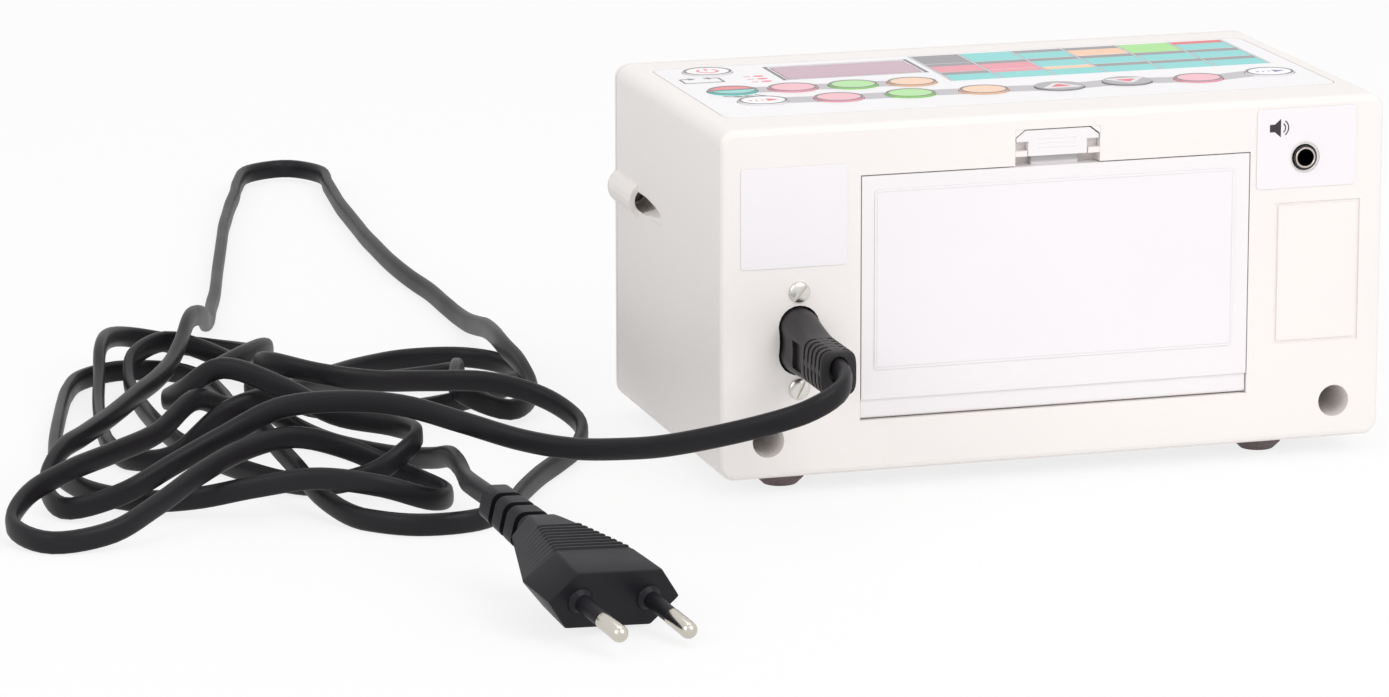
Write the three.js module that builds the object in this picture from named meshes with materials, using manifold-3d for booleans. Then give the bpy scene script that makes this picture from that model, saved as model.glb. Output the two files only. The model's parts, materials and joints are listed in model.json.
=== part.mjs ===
// Electronic tanpura: a plastic box with a membrane keypad on top, a battery door, a mains inlet
// and a line jack at the back, a loudspeaker at the front, and a loose mains lead.
// Millimetres, +Z up. +X runs along the width, -Y is the back with the battery door, +Y the front.
import * as THREE from 'three';
import { mergeVertices } from 'three/addons/utils/BufferGeometryUtils.js';
import Module from 'manifold-3d';

const wasm = await Module();
wasm.setup();

// Clearances shared by all pieces
const fitGap = 0.3;
const stickerGap = 0.05;
const overrun = 2;
const weldDistance = 0.0001;

// Six AA cells stand side by side in the battery bay. They set the bay, the bay sets the door over it,
// and the door with its margins sets the width and height of the case.
const cellRadius = 7.1;
const cellBody = 49.2;
const cellNub = 1.3;
const cellNubRadius = 2.7;
const cellCount = 6;
const cellPitch = 15.6;
const springLength = 4.4;
const springSeatRadius = 5.1;
const contactThickness = 0.5;
const doorSideMargin = 2.8;
const doorEndMargin = 1.4;
const panelSide = 35.4;
const panelBelow = 13.2;
const panelAbove = 12.9;

const cellLength = cellBody + cellNub;
const bayInside = cellLength + springLength + 2 * contactThickness + 4 * fitGap;
const doorHalfWidth = cellCount * cellPitch / 2 + doorSideMargin;
const doorHeight = bayInside + 2 * doorEndMargin;
const caseWidth = 2 * (doorHalfWidth + panelSide);
const caseHeight = panelBelow + doorHeight + panelAbove;

// Case
const housingDepth = 92;
const frontDepth = 5;
const caseWall = 2.5;
const caseCornerRadius = 3.8;
const rearEdgeRadius = 1.6;
const frontEdgeRadius = 3.5;
const footHeight = 4.5;

// Levels that follow from the case
const bottomZ = footHeight;
const topZ = footHeight + caseHeight;
const sideX = caseWidth / 2;
const seamY = housingDepth;
const frontStartY = seamY + fitGap;
const frontY = seamY + frontDepth;
const doorBottomZ = bottomZ + panelBelow;
const doorTopZ = doorBottomZ + doorHeight;

// How finely round shapes are cut
const roundSides = 20;
const smallSides = 12;
const cornerSteps = 4;
const bevelSteps = 3;
const figureSteps = 6;
const slotSteps = 2;
const ringSteps = 3;

// Finishes
const paint = {
  shell: new THREE.MeshStandardMaterial({ color: 0xf1edea, roughness: 0.42 }),
  door: new THREE.MeshStandardMaterial({ color: 0xfbf8f6, roughness: 0.38 }),
  overlay: new THREE.MeshStandardMaterial({ color: 0xf3f1f3, roughness: 0.35 }),
  sticker: new THREE.MeshStandardMaterial({ color: 0xfcfafb, roughness: 0.25 }),
  pinkKey: new THREE.MeshStandardMaterial({ color: 0xf4cad4, roughness: 0.35 }),
  greenKey: new THREE.MeshStandardMaterial({ color: 0xb5da9f, roughness: 0.35 }),
  orangeKey: new THREE.MeshStandardMaterial({ color: 0xf5dac1, roughness: 0.35 }),
  splitKey: new THREE.MeshStandardMaterial({ color: 0xd94a52, roughness: 0.35 }),
  whiteKey: new THREE.MeshStandardMaterial({ color: 0xf6f5f6, roughness: 0.35 }),
  window: new THREE.MeshStandardMaterial({ color: 0xc896aa, roughness: 0.1 }),
  black: new THREE.MeshStandardMaterial({ color: 0x262528, roughness: 0.5 }),
  rubber: new THREE.MeshStandardMaterial({ color: 0x4e4141, roughness: 0.7 }),
  nickel: new THREE.MeshStandardMaterial({ color: 0xbdb8b0, roughness: 0.25, metalness: 1 }),
  steel: new THREE.MeshStandardMaterial({ color: 0x9a9a98, roughness: 0.35, metalness: 1 }),
  board: new THREE.MeshStandardMaterial({ color: 0x2f6b45, roughness: 0.6 }),
  cell: new THREE.MeshStandardMaterial({ color: 0x35507a, roughness: 0.35 }),
  cone: new THREE.MeshStandardMaterial({ color: 0x3a3632, roughness: 0.9 }),
  magnet: new THREE.MeshStandardMaterial({ color: 0x555457, roughness: 0.6 }),
};

const tanpura = new THREE.Group();
const box = new THREE.Group();
tanpura.add(box);

// Turns a closed three.js geometry into a solid that can be cut and joined.
function solidFrom(geometry) {
  const bare = geometry.clone();
  bare.deleteAttribute('normal');
  bare.deleteAttribute('uv');
  const merged = mergeVertices(bare, weldDistance);
  return new wasm.Manifold(new wasm.Mesh({
    numProp: 3,
    vertProperties: new Float32Array(merged.attributes.position.array),
    triVerts: new Uint32Array(merged.index.array),
  }));
}

function geometryFrom(solid) {
  const cut = solid.getMesh();
  const geometry = new THREE.BufferGeometry();
  geometry.setAttribute('position', new THREE.BufferAttribute(cut.vertProperties, 3));
  geometry.setIndex(new THREE.BufferAttribute(cut.triVerts, 1));
  geometry.computeVertexNormals();
  return geometry;
}

function place(name, solid, material, parent = box) {
  const mesh = new THREE.Mesh(geometryFrom(solid), material);
  mesh.name = name;
  parent.add(mesh);
  return mesh;
}

function union(solids) {
  return solids.reduce((joined, solid) => joined.add(solid));
}

function cutFrom(solid, tools) {
  return tools.reduce((left, tool) => left.subtract(tool), solid);
}

// A block from its low and high corner along each axis.
function block([x0, x1], [y0, y1], [z0, z1]) {
  const geometry = new THREE.BoxGeometry(x1 - x0, y1 - y0, z1 - z0);
  geometry.translate((x0 + x1) / 2, (y0 + y1) / 2, (z0 + z1) / 2);
  return solidFrom(geometry);
}

// A round bar along one axis. The centre is given on the other two axes in X, Y, Z order.
function bar(axis, radius, [from, to], [u, v], sides = roundSides, endRadius = radius) {
  const geometry = new THREE.CylinderGeometry(endRadius, radius, to - from, sides);
  const middle = (from + to) / 2;
  if (axis === 'x') {
    geometry.rotateZ(-Math.PI / 2);
    geometry.translate(middle, u, v);
  } else if (axis === 'y') {
    geometry.translate(u, middle, v);
  } else {
    geometry.rotateX(Math.PI / 2);
    geometry.translate(u, v, middle);
  }
  return solidFrom(geometry);
}

function roundedOutline([u0, u1], [v0, v1], radius) {
  const outline = new THREE.Shape();
  outline.absarc(u1 - radius, v1 - radius, radius, 0, Math.PI / 2);
  outline.absarc(u0 + radius, v1 - radius, radius, Math.PI / 2, Math.PI);
  outline.absarc(u0 + radius, v0 + radius, radius, Math.PI, Math.PI * 1.5);
  outline.absarc(u1 - radius, v0 + radius, radius, Math.PI * 1.5, Math.PI * 2);
  return outline;
}

// Extrudes an outline along one axis: its own axes are X, Y for z, X, Z for y and Y, Z for x.
function prism(outline, axis, [from, to], { edge = 0, steps = cornerSteps } = {}) {
  const geometry = new THREE.ExtrudeGeometry(outline, {
    depth: to - from - 2 * edge,
    curveSegments: steps,
    bevelEnabled: edge > 0,
    bevelThickness: edge,
    bevelSize: edge,
    bevelOffset: -edge,
    bevelSegments: bevelSteps,
  });
  geometry.translate(0, 0, edge);
  if (axis === 'y') {
    geometry.rotateX(Math.PI / 2);
    geometry.translate(0, to, 0);
  } else if (axis === 'x') {
    geometry.applyMatrix4(new THREE.Matrix4().makeBasis(
      new THREE.Vector3(0, 1, 0), new THREE.Vector3(0, 0, 1), new THREE.Vector3(1, 0, 0)));
    geometry.translate(from, 0, 0);
  } else {
    geometry.translate(0, 0, from);
  }
  return solidFrom(geometry);
}

// Turns a profile of [radius, height] points round the Y axis through x, z.
function turnedY(profile, [x, z], sides = roundSides) {
  const points = profile.map(([radius, y]) => new THREE.Vector2(radius, y));
  const geometry = new THREE.LatheGeometry(points, sides);
  geometry.translate(x, 0, z);
  return solidFrom(geometry);
}

// Skins a row of rings that have the same number of points, and closes both ends.
function loft(rings) {
  const count = rings[0].length;
  const points = rings.flat();
  const faces = [];
  for (let r = 0; r + 1 < rings.length; r += 1) {
    for (let i = 0; i < count; i += 1) {
      const a = r * count + i;
      const b = r * count + ((i + 1) % count);
      faces.push(a, b, a + count, b, b + count, a + count);
    }
  }
  const last = (rings.length - 1) * count;
  for (let i = 1; i + 1 < count; i += 1) {
    faces.push(0, i + 1, i);
    faces.push(last, last + i, last + i + 1);
  }
  const geometry = new THREE.BufferGeometry();
  geometry.setAttribute('position', new THREE.Float32BufferAttribute(points.flat(), 3));
  geometry.setIndex(faces);
  return solidFrom(geometry);
}

// Keypad: places are measured from the middle of the width and from the back face
const overlaySideMargin = 6;
const overlayHalfWidth = sideX - overlaySideMargin;
const overlayBackY = 15;
const overlayFrontY = 83;
const overlayCornerRadius = 4;
const overlayThickness = 0.6;
const keyLength = 12.5;
const keyWidth = 11;
const keyRise = 0.35;
const keyTravel = 0.35;
const keyThickness = 1.5;
const windowX = [-49.5, -14.3];
const windowY = [60.6, 77.3];
const windowLedge = 1.5;

const keys = [
  ['power_key', -66, 75.5, paint.pinkKey],
  ['bank_key', -67.2, 49.4, paint.splitKey],
  ['left_arrow_key', -63.9, 34.4, paint.whiteKey],
  ['tempo_up_key', -51.8, 49, paint.pinkKey],
  ['tempo_down_key', -44.9, 33.4, paint.pinkKey],
  ['pitch_up_key', -36.4, 48.5, paint.greenKey],
  ['pitch_down_key', -26.5, 33.3, paint.greenKey],
  ['tune_up_key', -21.4, 47.7, paint.orangeKey],
  ['tune_down_key', -7.7, 32.6, paint.orangeKey],
  ['up_key', 11.6, 31.6, paint.whiteKey],
  ['down_key', 29.9, 33.1, paint.whiteKey],
  ['play_key', 48.3, 31.9, paint.pinkKey],
  ['right_arrow_key', 68.2, 34.5, paint.whiteKey],
];

const recessFloorZ = topZ - overlayThickness - stickerGap;
const keyTopZ = topZ + keyRise;
const keyBottomZ = keyTopZ - keyThickness;
const wellFloorZ = keyBottomZ - keyTravel - stickerGap;

function keyOutline(x, y, grow) {
  const outline = new THREE.Shape();
  outline.absellipse(x, y, keyLength / 2 + grow, keyWidth / 2 + grow, 0, Math.PI * 2);
  return outline;
}

function keyColumn(x, y, grow, [from, to]) {
  return prism(keyOutline(x, y, grow), 'z', [from, to], { steps: smallSides });
}

// Battery bay and door
const doorThickness = 2.4;
const doorStripHeight = 4.9;
const doorStripStep = 0.7;
const bayWall = 1.6;
const bayLedge = 1.8;
const bayMargin = 1.7;

const doorX = [-doorHalfWidth, doorHalfWidth];
const rebateX = [-doorHalfWidth - fitGap, doorHalfWidth + fitGap];
const rebateZ = [doorBottomZ - fitGap, doorTopZ + fitGap];
const ledgeY = doorThickness + fitGap + stickerGap;
const bayX = [rebateX[0] + bayLedge, rebateX[1] - bayLedge];
const bayMiddleZ = (doorBottomZ + doorTopZ) / 2;
const bayZ = [bayMiddleZ - bayInside / 2, bayMiddleZ + bayInside / 2];
const cellY = ledgeY + fitGap + cellRadius;
const bayFloorY = cellY + cellRadius + fitGap;
const bayBackY = bayFloorY + bayWall;
const bayOuterX = [rebateX[0] - bayWall, rebateX[1] + bayWall];
const bayOuterZ = [rebateZ[0] - bayWall, rebateZ[1] + bayWall];

// Door latch: a hat-shaped tab that slides down on a tongue of the door
const latchNeckHalf = 7.5;
const latchEarHalf = 10.5;
const latchTopHalf = 8.2;
const latchDoorGap = 2.5;
const latchNeckHeight = 3.6;
const latchEarHeight = 0.9;
const latchCapHeight = 1.8;
const latchThickness = 2;
const latchInset = 0.2;
const tongueThickness = 1.2;
const tongueHalf = 6;
const tongueHeight = 6.2;
const pocketWall = 1.2;

const latchBottomZ = doorTopZ + latchDoorGap;
const latchEarZ = latchBottomZ + latchNeckHeight;
const latchShoulderZ = latchEarZ + latchEarHeight;
const latchTopZ = latchShoulderZ + latchCapHeight;
const tongueTopZ = doorTopZ + tongueHeight;
const latchY = [latchInset, latchInset + latchThickness];
const tongueY = [latchY[1] + fitGap, latchY[1] + fitGap + tongueThickness];
const pocketX = [-latchEarHalf - fitGap - stickerGap, latchEarHalf + fitGap + stickerGap];
const pocketZ = [doorTopZ, latchTopZ + fitGap];
const pocketY = tongueY[1] + 2 * fitGap;

// Back panel fittings
const inletAside = 15.7;
const inletAbove = 33.9;
const inletX = -doorHalfWidth - inletAside;
const inletZ = bottomZ + inletAbove;
const inletWidth = 10.3;
const inletHeight = 17.2;
const inletScrewPitch = 23.9;
const inletFlangeWidth = 14.4;
const inletFlangeHeight = 33;
const inletFlangeThickness = 2.4;
const inletBodyWidth = 13.6;
const inletBodyHeight = 19.6;
const inletDepth = 21;
const inletSocketDepth = 15;
const waistShare = 0.05;
const inletPinRadius = 1.2;
const inletPinSpacing = 8.6;
const inletPinStart = 4;
const inletPinTail = 4;
const screwShaft = 1.35;
const screwHead = 2.6;
const screwHeadHeight = 0.9;
const inletScrewLength = 9;
const jackAside = 14.4;
const jackBelow = 14.7;
const jackX = doorHalfWidth + jackAside;
const jackZ = topZ - jackBelow;
const jackRingRadius = 3;
const jackBoreRadius = 2.1;
const jackStandOut = 0.8;
const jackBodyWidth = 11;
const jackBodyDepth = 14;
const jackBoreDepth = 15;

// Case screws: two run in tunnels from the lower back corners, two in the side lugs
const tunnelInset = 12;
const tunnelAbove = 9.4;
const tunnelX = sideX - tunnelInset;
const tunnelZ = bottomZ + tunnelAbove;
const tunnelRadius = 4;
const tunnelWall = 1.5;
const tunnelEndBack = 20;
const tunnelTubeBack = 12.3;
const tunnelEndY = housingDepth - tunnelEndBack;
const tunnelTubeEndY = housingDepth - tunnelTubeBack;
const bossRadius = 4;
const bossBore = 1.45;
const caseScrewLength = 18;
const caseScrewHead = 3.2;
const caseScrewHeadHeight = 2.6;
const screwHole = 1.75;
const lugInset = 2.4;
const lugBelow = 31;
const lugX = sideX - lugInset;
const lugZ = topZ - lugBelow;
const lugRadius = 4.8;
const lugChannelRadius = 3.4;
const lugLong = 20;
const lugMouthBack = 40;
const lugTubeBack = 45;
const lugLedgeBack = 8;
const lugStartY = housingDepth - lugLong;
const lugMouthY = housingDepth - lugMouthBack;
const lugTubeStartY = housingDepth - lugTubeBack;
const lugLedgeY = housingDepth - lugLedgeBack;
const lugScrewLength = 10;

// Feet
const footRadius = 6;
const footChamfer = 1.8;
const footInset = 14;
const footLeftInset = 19.1;
const footRightInset = 26.6;
const feet = [
  ['foot_rear_left', footLeftInset - sideX, footInset],
  ['foot_rear_right', sideX - footRightInset, footInset],
  ['foot_front_left', footLeftInset - sideX, frontY - footInset],
  ['foot_front_right', sideX - footRightInset, frontY - footInset],
];

// Labels on the back: bare stickers
const stickerThickness = 0.2;
const stickerCorner = 0.8;
const doorLabelMargins = { left: 3.2, right: 3.8, low: 12.2, high: 3.4 };
const noticeMargins = { left: 5, right: 3.7, overScrew: 3.55, high: 9.4 };
const jackLabelMargins = { left: 1.9, right: 7.7, low: 22.1, high: 2.3 };
const embossMargins = { left: 7.1, right: 6.1, low: 24.8, high: 25.8 };

const doorLabel = {
  name: 'door_label',
  x: [-doorHalfWidth + doorLabelMargins.left, doorHalfWidth - doorLabelMargins.right],
  z: [doorBottomZ + doorLabelMargins.low, doorTopZ - doorLabelMargins.high],
};
const noticeLabel = {
  name: 'side_label',
  x: [-sideX + noticeMargins.left, -doorHalfWidth - noticeMargins.right],
  z: [inletZ + inletScrewPitch / 2 + screwHead + noticeMargins.overScrew, topZ - noticeMargins.high],
};
const jackLabel = {
  name: 'jack_label',
  x: [doorHalfWidth + jackLabelMargins.left, sideX - jackLabelMargins.right],
  z: [topZ - jackLabelMargins.low, topZ - jackLabelMargins.high],
};
const embossX = [doorHalfWidth + embossMargins.left, sideX - embossMargins.right];
const embossZ = [bottomZ + embossMargins.low, topZ - embossMargins.high];
const embossDepth = 0.4;
const embossLine = 0.8;

// Speaker and front grille
const speakerX = 0;
const speakerDrop = 0.5;
const speakerZ = (bottomZ + topZ) / 2 - speakerDrop;
const speakerRadius = 35;
const speakerFrameDepth = 14;
const speakerRim = 2;
const speakerPlate = 1.5;
const speakerMagnetRadius = 21;
const speakerMagnetDepth = 12;
const coneThroatRadius = 10;
const coneDepth = 9;
const coneThickness = 1;
const grilleRadius = 31;
const grilleSlot = 2.4;
const grillePitch = 5;
const speakerClipGap = fitGap;

// Boards inside
const boardThickness = 1.6;
const boardPostRadius = 3;
const boardPostLength = 4;
const mainBoardHalfWidth = 46;
const mainBoardAbove = 6.3;
const mainBoardBelow = 3.6;
const mainPostAside = 6;
const mainPostInset = 5;
const mainBoardZ = [doorBottomZ + mainBoardAbove, doorTopZ - mainBoardBelow];
const mainPostX = mainBoardHalfWidth - mainPostAside;
const mainPostZ = [mainBoardZ[0] + mainPostInset, mainBoardZ[1] - mainPostInset];
const powerBoardX = [-62, -14];
const powerBoardY = [34, 62];
const powerPostInset = 5;
const powerPostHeight = 4;
const coreWidth = 26;
const coreDepth = 18;
const coreHeight = 16;
const moduleDepth = 8;
const moduleMargin = 1.5;
const chipSide = 11;
const chipHeight = 3.2;
const chipCorners = [[-18, 16], [8, 28], [30, 12]];

function figureEight(width, height, grow = 0) {
  const radius = width / 2 + grow;
  const rise = height / 2 - width / 2;
  const waist = radius - waistShare * width;
  const outline = new THREE.Shape();
  outline.absarc(0, rise, radius, 0, Math.PI);
  outline.quadraticCurveTo(-waist, 0, -radius, -rise);
  outline.absarc(0, -rise, radius, Math.PI, Math.PI * 2);
  outline.quadraticCurveTo(waist, 0, radius, rise);
  return outline;
}

function socketColumn(grow, span) {
  const outline = figureEight(inletWidth, inletHeight, grow);
  const column = prism(outline, 'y', span, { steps: figureSteps });
  return column.translate([inletX, 0, inletZ]);
}

function latchOutline(grow, drop) {
  const outline = new THREE.Shape();
  outline.moveTo(-latchNeckHalf - grow, latchBottomZ - drop);
  outline.lineTo(latchNeckHalf + grow, latchBottomZ - drop);
  outline.lineTo(latchNeckHalf + grow, latchEarZ - drop);
  outline.lineTo(latchEarHalf + grow, latchEarZ - drop);
  outline.lineTo(latchEarHalf + grow, latchShoulderZ);
  outline.lineTo(latchTopHalf + grow, latchTopZ + grow);
  outline.lineTo(-latchTopHalf - grow, latchTopZ + grow);
  outline.lineTo(-latchEarHalf - grow, latchShoulderZ);
  outline.lineTo(-latchEarHalf - grow, latchEarZ - drop);
  outline.lineTo(-latchNeckHalf - grow, latchEarZ - drop);
  outline.closePath();
  return outline;
}

function caseOutline(inset = 0) {
  return roundedOutline(
    [-sideX + inset, sideX - inset], [bottomZ + inset, topZ - inset], caseCornerRadius - inset);
}

function rearHousing() {
  const outer = prism(caseOutline(), 'y', [0, seamY + overrun + rearEdgeRadius], { edge: rearEdgeRadius })
    .intersect(block([-caseWidth, caseWidth], [-overrun, seamY], [0, topZ + overrun]));
  const hollow = prism(caseOutline(caseWall), 'y', [caseWall, seamY + overrun]);
  const insideSpan = [bayMargin, seamY];
  const added = [
    block(bayOuterX, [bayMargin, bayBackY], bayOuterZ),
    block([pocketX[0] - pocketWall, pocketX[1] + pocketWall], [bayMargin, pocketY + pocketWall],
      [doorTopZ, topZ - bayMargin]),
  ];
  for (const side of [-1, 1]) {
    const x = side * lugX;
    const inner = bar('y', lugRadius, [lugTubeStartY, seamY], [x, lugZ])
      .intersect(block([-sideX + bayMargin, sideX - bayMargin], insideSpan, [bottomZ, topZ]));
    added.push(bar('y', tunnelRadius + tunnelWall, [bayMargin, tunnelTubeEndY], [side * tunnelX, tunnelZ]));
    added.push(inner);
    added.push(bar('y', lugRadius, [lugStartY, seamY], [x, lugZ]));
  }
  for (const x of [-mainPostX, mainPostX]) {
    for (const z of mainPostZ) {
      added.push(bar('y', boardPostRadius, [bayBackY - bayWall / 2, bayBackY + boardPostLength], [x, z],
        smallSides));
    }
  }
  for (const x of [powerBoardX[0] + powerPostInset, powerBoardX[1] - powerPostInset]) {
    for (const y of [powerBoardY[0] + powerPostInset, powerBoardY[1] - powerPostInset]) {
      added.push(bar('z', boardPostRadius, [bottomZ + bayMargin, bottomZ + caseWall + powerPostHeight],
        [x, y], smallSides));
    }
  }
  const cuts = [
    prism(roundedOutline([-overlayHalfWidth, overlayHalfWidth], [overlayBackY, overlayFrontY],
      overlayCornerRadius), 'z', [recessFloorZ, topZ + overrun]),
    block([windowX[0] + windowLedge, windowX[1] - windowLedge],
      [windowY[0] + windowLedge, windowY[1] - windowLedge], [topZ - caseWall - overrun, topZ]),
    block(rebateX, [-overrun, ledgeY], rebateZ),
    block(bayX, [-overrun, bayFloorY], bayZ),
    block(pocketX, [-overrun, pocketY], pocketZ),
    block([-tongueHalf - fitGap, tongueHalf + fitGap], [-overrun, pocketY], [bayZ[1] - overrun, pocketZ[1]]),
    socketColumn(0, [-overrun, caseWall + overrun]),
    bar('y', jackRingRadius + fitGap, [-overrun, caseWall + overrun], [jackX, jackZ]),
  ];
  for (const [, x, y] of keys) {
    cuts.push(keyColumn(x, y, fitGap, [wellFloorZ, topZ]));
  }
  for (const side of [-1, 1]) {
    const z = inletZ + side * inletScrewPitch / 2;
    cuts.push(bar('y', screwHole, [-overrun, caseWall + overrun], [inletX, z], smallSides));
    cuts.push(bar('y', tunnelRadius, [-overrun, tunnelEndY], [side * tunnelX, tunnelZ]));
    cuts.push(bar('y', screwHole, [0, seamY], [side * tunnelX, tunnelZ], smallSides));
    cuts.push(bar('y', lugChannelRadius, [lugMouthY, lugLedgeY], [side * lugX, lugZ]));
    cuts.push(bar('y', screwHole, [lugLedgeY - overrun, seamY + overrun], [side * lugX, lugZ], smallSides));
  }
  const embossOuter = block(embossX, [-overrun, embossDepth], embossZ);
  const embossInner = block([embossX[0] + embossLine, embossX[1] - embossLine], [-overrun, embossDepth],
    [embossZ[0] + embossLine, embossZ[1] - embossLine]);
  cuts.push(embossOuter.subtract(embossInner));
  return cutFrom(union([outer.subtract(hollow), ...added]), cuts);
}

// The front shell: a shallow tray with the loudspeaker grille and the bosses of the case screws.
function frontShell() {
  const outer = prism(caseOutline(), 'y', [frontStartY - overrun - frontEdgeRadius, frontY],
    { edge: frontEdgeRadius })
    .intersect(block([-caseWidth, caseWidth], [frontStartY, frontY + overrun], [0, topZ + overrun]));
  const hollow = prism(caseOutline(caseWall), 'y', [frontStartY - overrun, frontY - caseWall]);
  const added = [];
  for (const side of [-1, 1]) {
    added.push(bar('y', bossRadius, [tunnelTubeEndY + fitGap, frontY - bayMargin],
      [side * tunnelX, tunnelZ]));
    added.push(bar('y', lugRadius, [frontStartY, frontY - frontEdgeRadius / 2], [side * lugX, lugZ],
      roundSides, lugRadius - frontEdgeRadius / 2));
  }
  added.push(turnedY([
    [speakerRadius + fitGap, frontY - caseWall - speakerRim],
    [speakerRadius + fitGap + pocketWall, frontY - caseWall - speakerRim],
    [speakerRadius + fitGap + pocketWall, frontY - bayMargin],
    [speakerRadius + fitGap, frontY - bayMargin],
    [speakerRadius + fitGap, frontY - caseWall - speakerRim],
  ], [speakerX, speakerZ], 2 * roundSides));
  const cuts = [];
  const rows = Math.floor(grilleRadius / grillePitch);
  for (let row = -rows; row <= rows; row += 1) {
    const z = row * grillePitch;
    const reach = Math.sqrt(grilleRadius ** 2 - z ** 2);
    cuts.push(prism(roundedOutline([speakerX - reach, speakerX + reach],
      [speakerZ + z - grilleSlot / 2, speakerZ + z + grilleSlot / 2], grilleSlot / 2 - stickerGap), 'y',
    [frontY - caseWall - speakerRim / 2, frontY + overrun], { steps: slotSteps }));
  }
  for (const side of [-1, 1]) {
    cuts.push(bar('y', bossBore, [tunnelTubeEndY - overrun, tunnelEndY + caseScrewLength + fitGap],
      [side * tunnelX, tunnelZ], smallSides));
    cuts.push(bar('y', bossBore, [frontStartY - overrun, lugLedgeY + lugScrewLength + fitGap],
      [side * lugX, lugZ], smallSides));
  }
  return cutFrom(union([outer.subtract(hollow), ...added]), cuts);
}

function membraneOverlay() {
  const sheet = prism(roundedOutline([-overlayHalfWidth + fitGap, overlayHalfWidth - fitGap],
    [overlayBackY + fitGap, overlayFrontY - fitGap], overlayCornerRadius - fitGap), 'z',
  [topZ - overlayThickness, topZ]);
  const cuts = [block(windowX, windowY, [topZ - overrun, topZ + overrun])];
  for (const [, x, y] of keys) {
    cuts.push(keyColumn(x, y, fitGap, [topZ - overrun, topZ + overrun]));
  }
  return cutFrom(sheet, cuts);
}

function keyCap(x, y) {
  return keyColumn(x, y, 0, [keyBottomZ, keyTopZ]);
}

function displayWindow() {
  return block([windowX[0] + fitGap, windowX[1] - fitGap], [windowY[0] + fitGap, windowY[1] - fitGap],
    [topZ - overlayThickness, topZ]);
}

function displayModule() {
  return block([windowX[0] - moduleMargin, windowX[1] + moduleMargin],
    [windowY[0] - moduleMargin, windowY[1] + moduleMargin],
    [topZ - caseWall - fitGap - moduleDepth, topZ - caseWall - fitGap]);
}

function mainBoard() {
  const y0 = bayBackY + boardPostLength + fitGap;
  const sheet = block([-mainBoardHalfWidth, mainBoardHalfWidth], [y0, y0 + boardThickness], mainBoardZ);
  const chipY = [y0 + boardThickness / 2, y0 + boardThickness + chipHeight];
  const chips = chipCorners.map(([x, z]) => block([x, x + chipSide], chipY,
    [mainBoardZ[0] + z, mainBoardZ[0] + z + chipSide]));
  return union([sheet, ...chips]);
}

function powerBoard() {
  const z0 = bottomZ + caseWall + powerPostHeight + fitGap;
  const z1 = z0 + boardThickness;
  const middleX = (powerBoardX[0] + powerBoardX[1]) / 2;
  const middleY = (powerBoardY[0] + powerBoardY[1]) / 2;
  return union([
    block(powerBoardX, powerBoardY, [z0, z1]),
    block([middleX - coreWidth / 2, middleX + coreWidth / 2],
      [middleY - coreDepth / 2, middleY + coreDepth / 2],
      [z1 - boardThickness / 2, z1 + coreHeight]),
  ]);
}

function speakerFrame() {
  const y1 = frontY - caseWall - speakerClipGap;
  const y0 = y1 - speakerFrameDepth;
  const throat = speakerMagnetRadius - speakerPlate;
  return turnedY([
    [coneThroatRadius, y0],
    [throat, y0],
    [speakerRadius - 2 * speakerRim, y1 - speakerRim],
    [speakerRadius, y1 - speakerRim],
    [speakerRadius, y1],
    [speakerRadius - 2 * speakerRim, y1],
    [throat - speakerPlate, y0 + speakerPlate],
    [coneThroatRadius, y0 + speakerPlate],
    [coneThroatRadius, y0],
  ], [speakerX, speakerZ], 2 * roundSides);
}

function speakerCone() {
  const y1 = frontY - caseWall - speakerClipGap - fitGap;
  const rim = speakerRadius - 3 * speakerRim;
  return turnedY([
    [0, y1 - coneDepth - coneThickness],
    [coneThroatRadius - fitGap, y1 - coneDepth - coneThickness],
    [rim, y1 - coneThickness],
    [rim, y1],
    [coneThroatRadius - fitGap, y1 - coneDepth],
    [0, y1 - coneDepth + coneThickness],
  ], [speakerX, speakerZ], 2 * roundSides);
}

function speakerMagnet() {
  const y1 = frontY - caseWall - speakerClipGap - speakerFrameDepth - fitGap;
  return bar('y', speakerMagnetRadius, [y1 - speakerMagnetDepth, y1], [speakerX, speakerZ], 2 * roundSides);
}

function mainsInlet() {
  const y0 = caseWall + fitGap;
  const flange = block([inletX - inletFlangeWidth / 2, inletX + inletFlangeWidth / 2],
    [y0, y0 + inletFlangeThickness], [inletZ - inletFlangeHeight / 2, inletZ + inletFlangeHeight / 2]);
  const body = block([inletX - inletBodyWidth / 2, inletX + inletBodyWidth / 2], [y0, y0 + inletDepth],
    [inletZ - inletBodyHeight / 2, inletZ + inletBodyHeight / 2]);
  const cuts = [socketColumn(0, [y0 - overrun, y0 + inletSocketDepth])];
  for (const side of [-1, 1]) {
    cuts.push(bar('y', bossBore, [0, y0 + inletFlangeThickness + overrun],
      [inletX, inletZ + side * inletScrewPitch / 2], smallSides));
    cuts.push(bar('y', inletPinRadius + fitGap, [y0, y0 + inletDepth + overrun],
      [inletX, inletZ + side * inletPinSpacing / 2], smallSides));
  }
  return cutFrom(union([flange, body]), cuts);
}

function inletPin(side) {
  const y0 = caseWall + fitGap;
  return bar('y', inletPinRadius, [y0 + inletPinStart, y0 + inletDepth + inletPinTail],
    [inletX, inletZ + side * inletPinSpacing / 2], smallSides);
}

function screw(x, z, seatY, head, headHeight, length) {
  return bar('y', head, [seatY - headHeight, seatY], [x, z])
    .add(bar('y', screwShaft, [seatY - headHeight / 2, seatY + length], [x, z], smallSides));
}

function auxJack() {
  const half = jackBodyWidth / 2;
  return bar('y', jackRingRadius, [-jackStandOut, caseWall + 2 * fitGap], [jackX, jackZ])
    .add(block([jackX - half, jackX + half], [caseWall + fitGap, caseWall + fitGap + jackBodyDepth],
      [jackZ - half, jackZ + half]))
    .subtract(bar('y', jackBoreRadius, [-jackStandOut - overrun, jackBoreDepth], [jackX, jackZ]));
}

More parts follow.
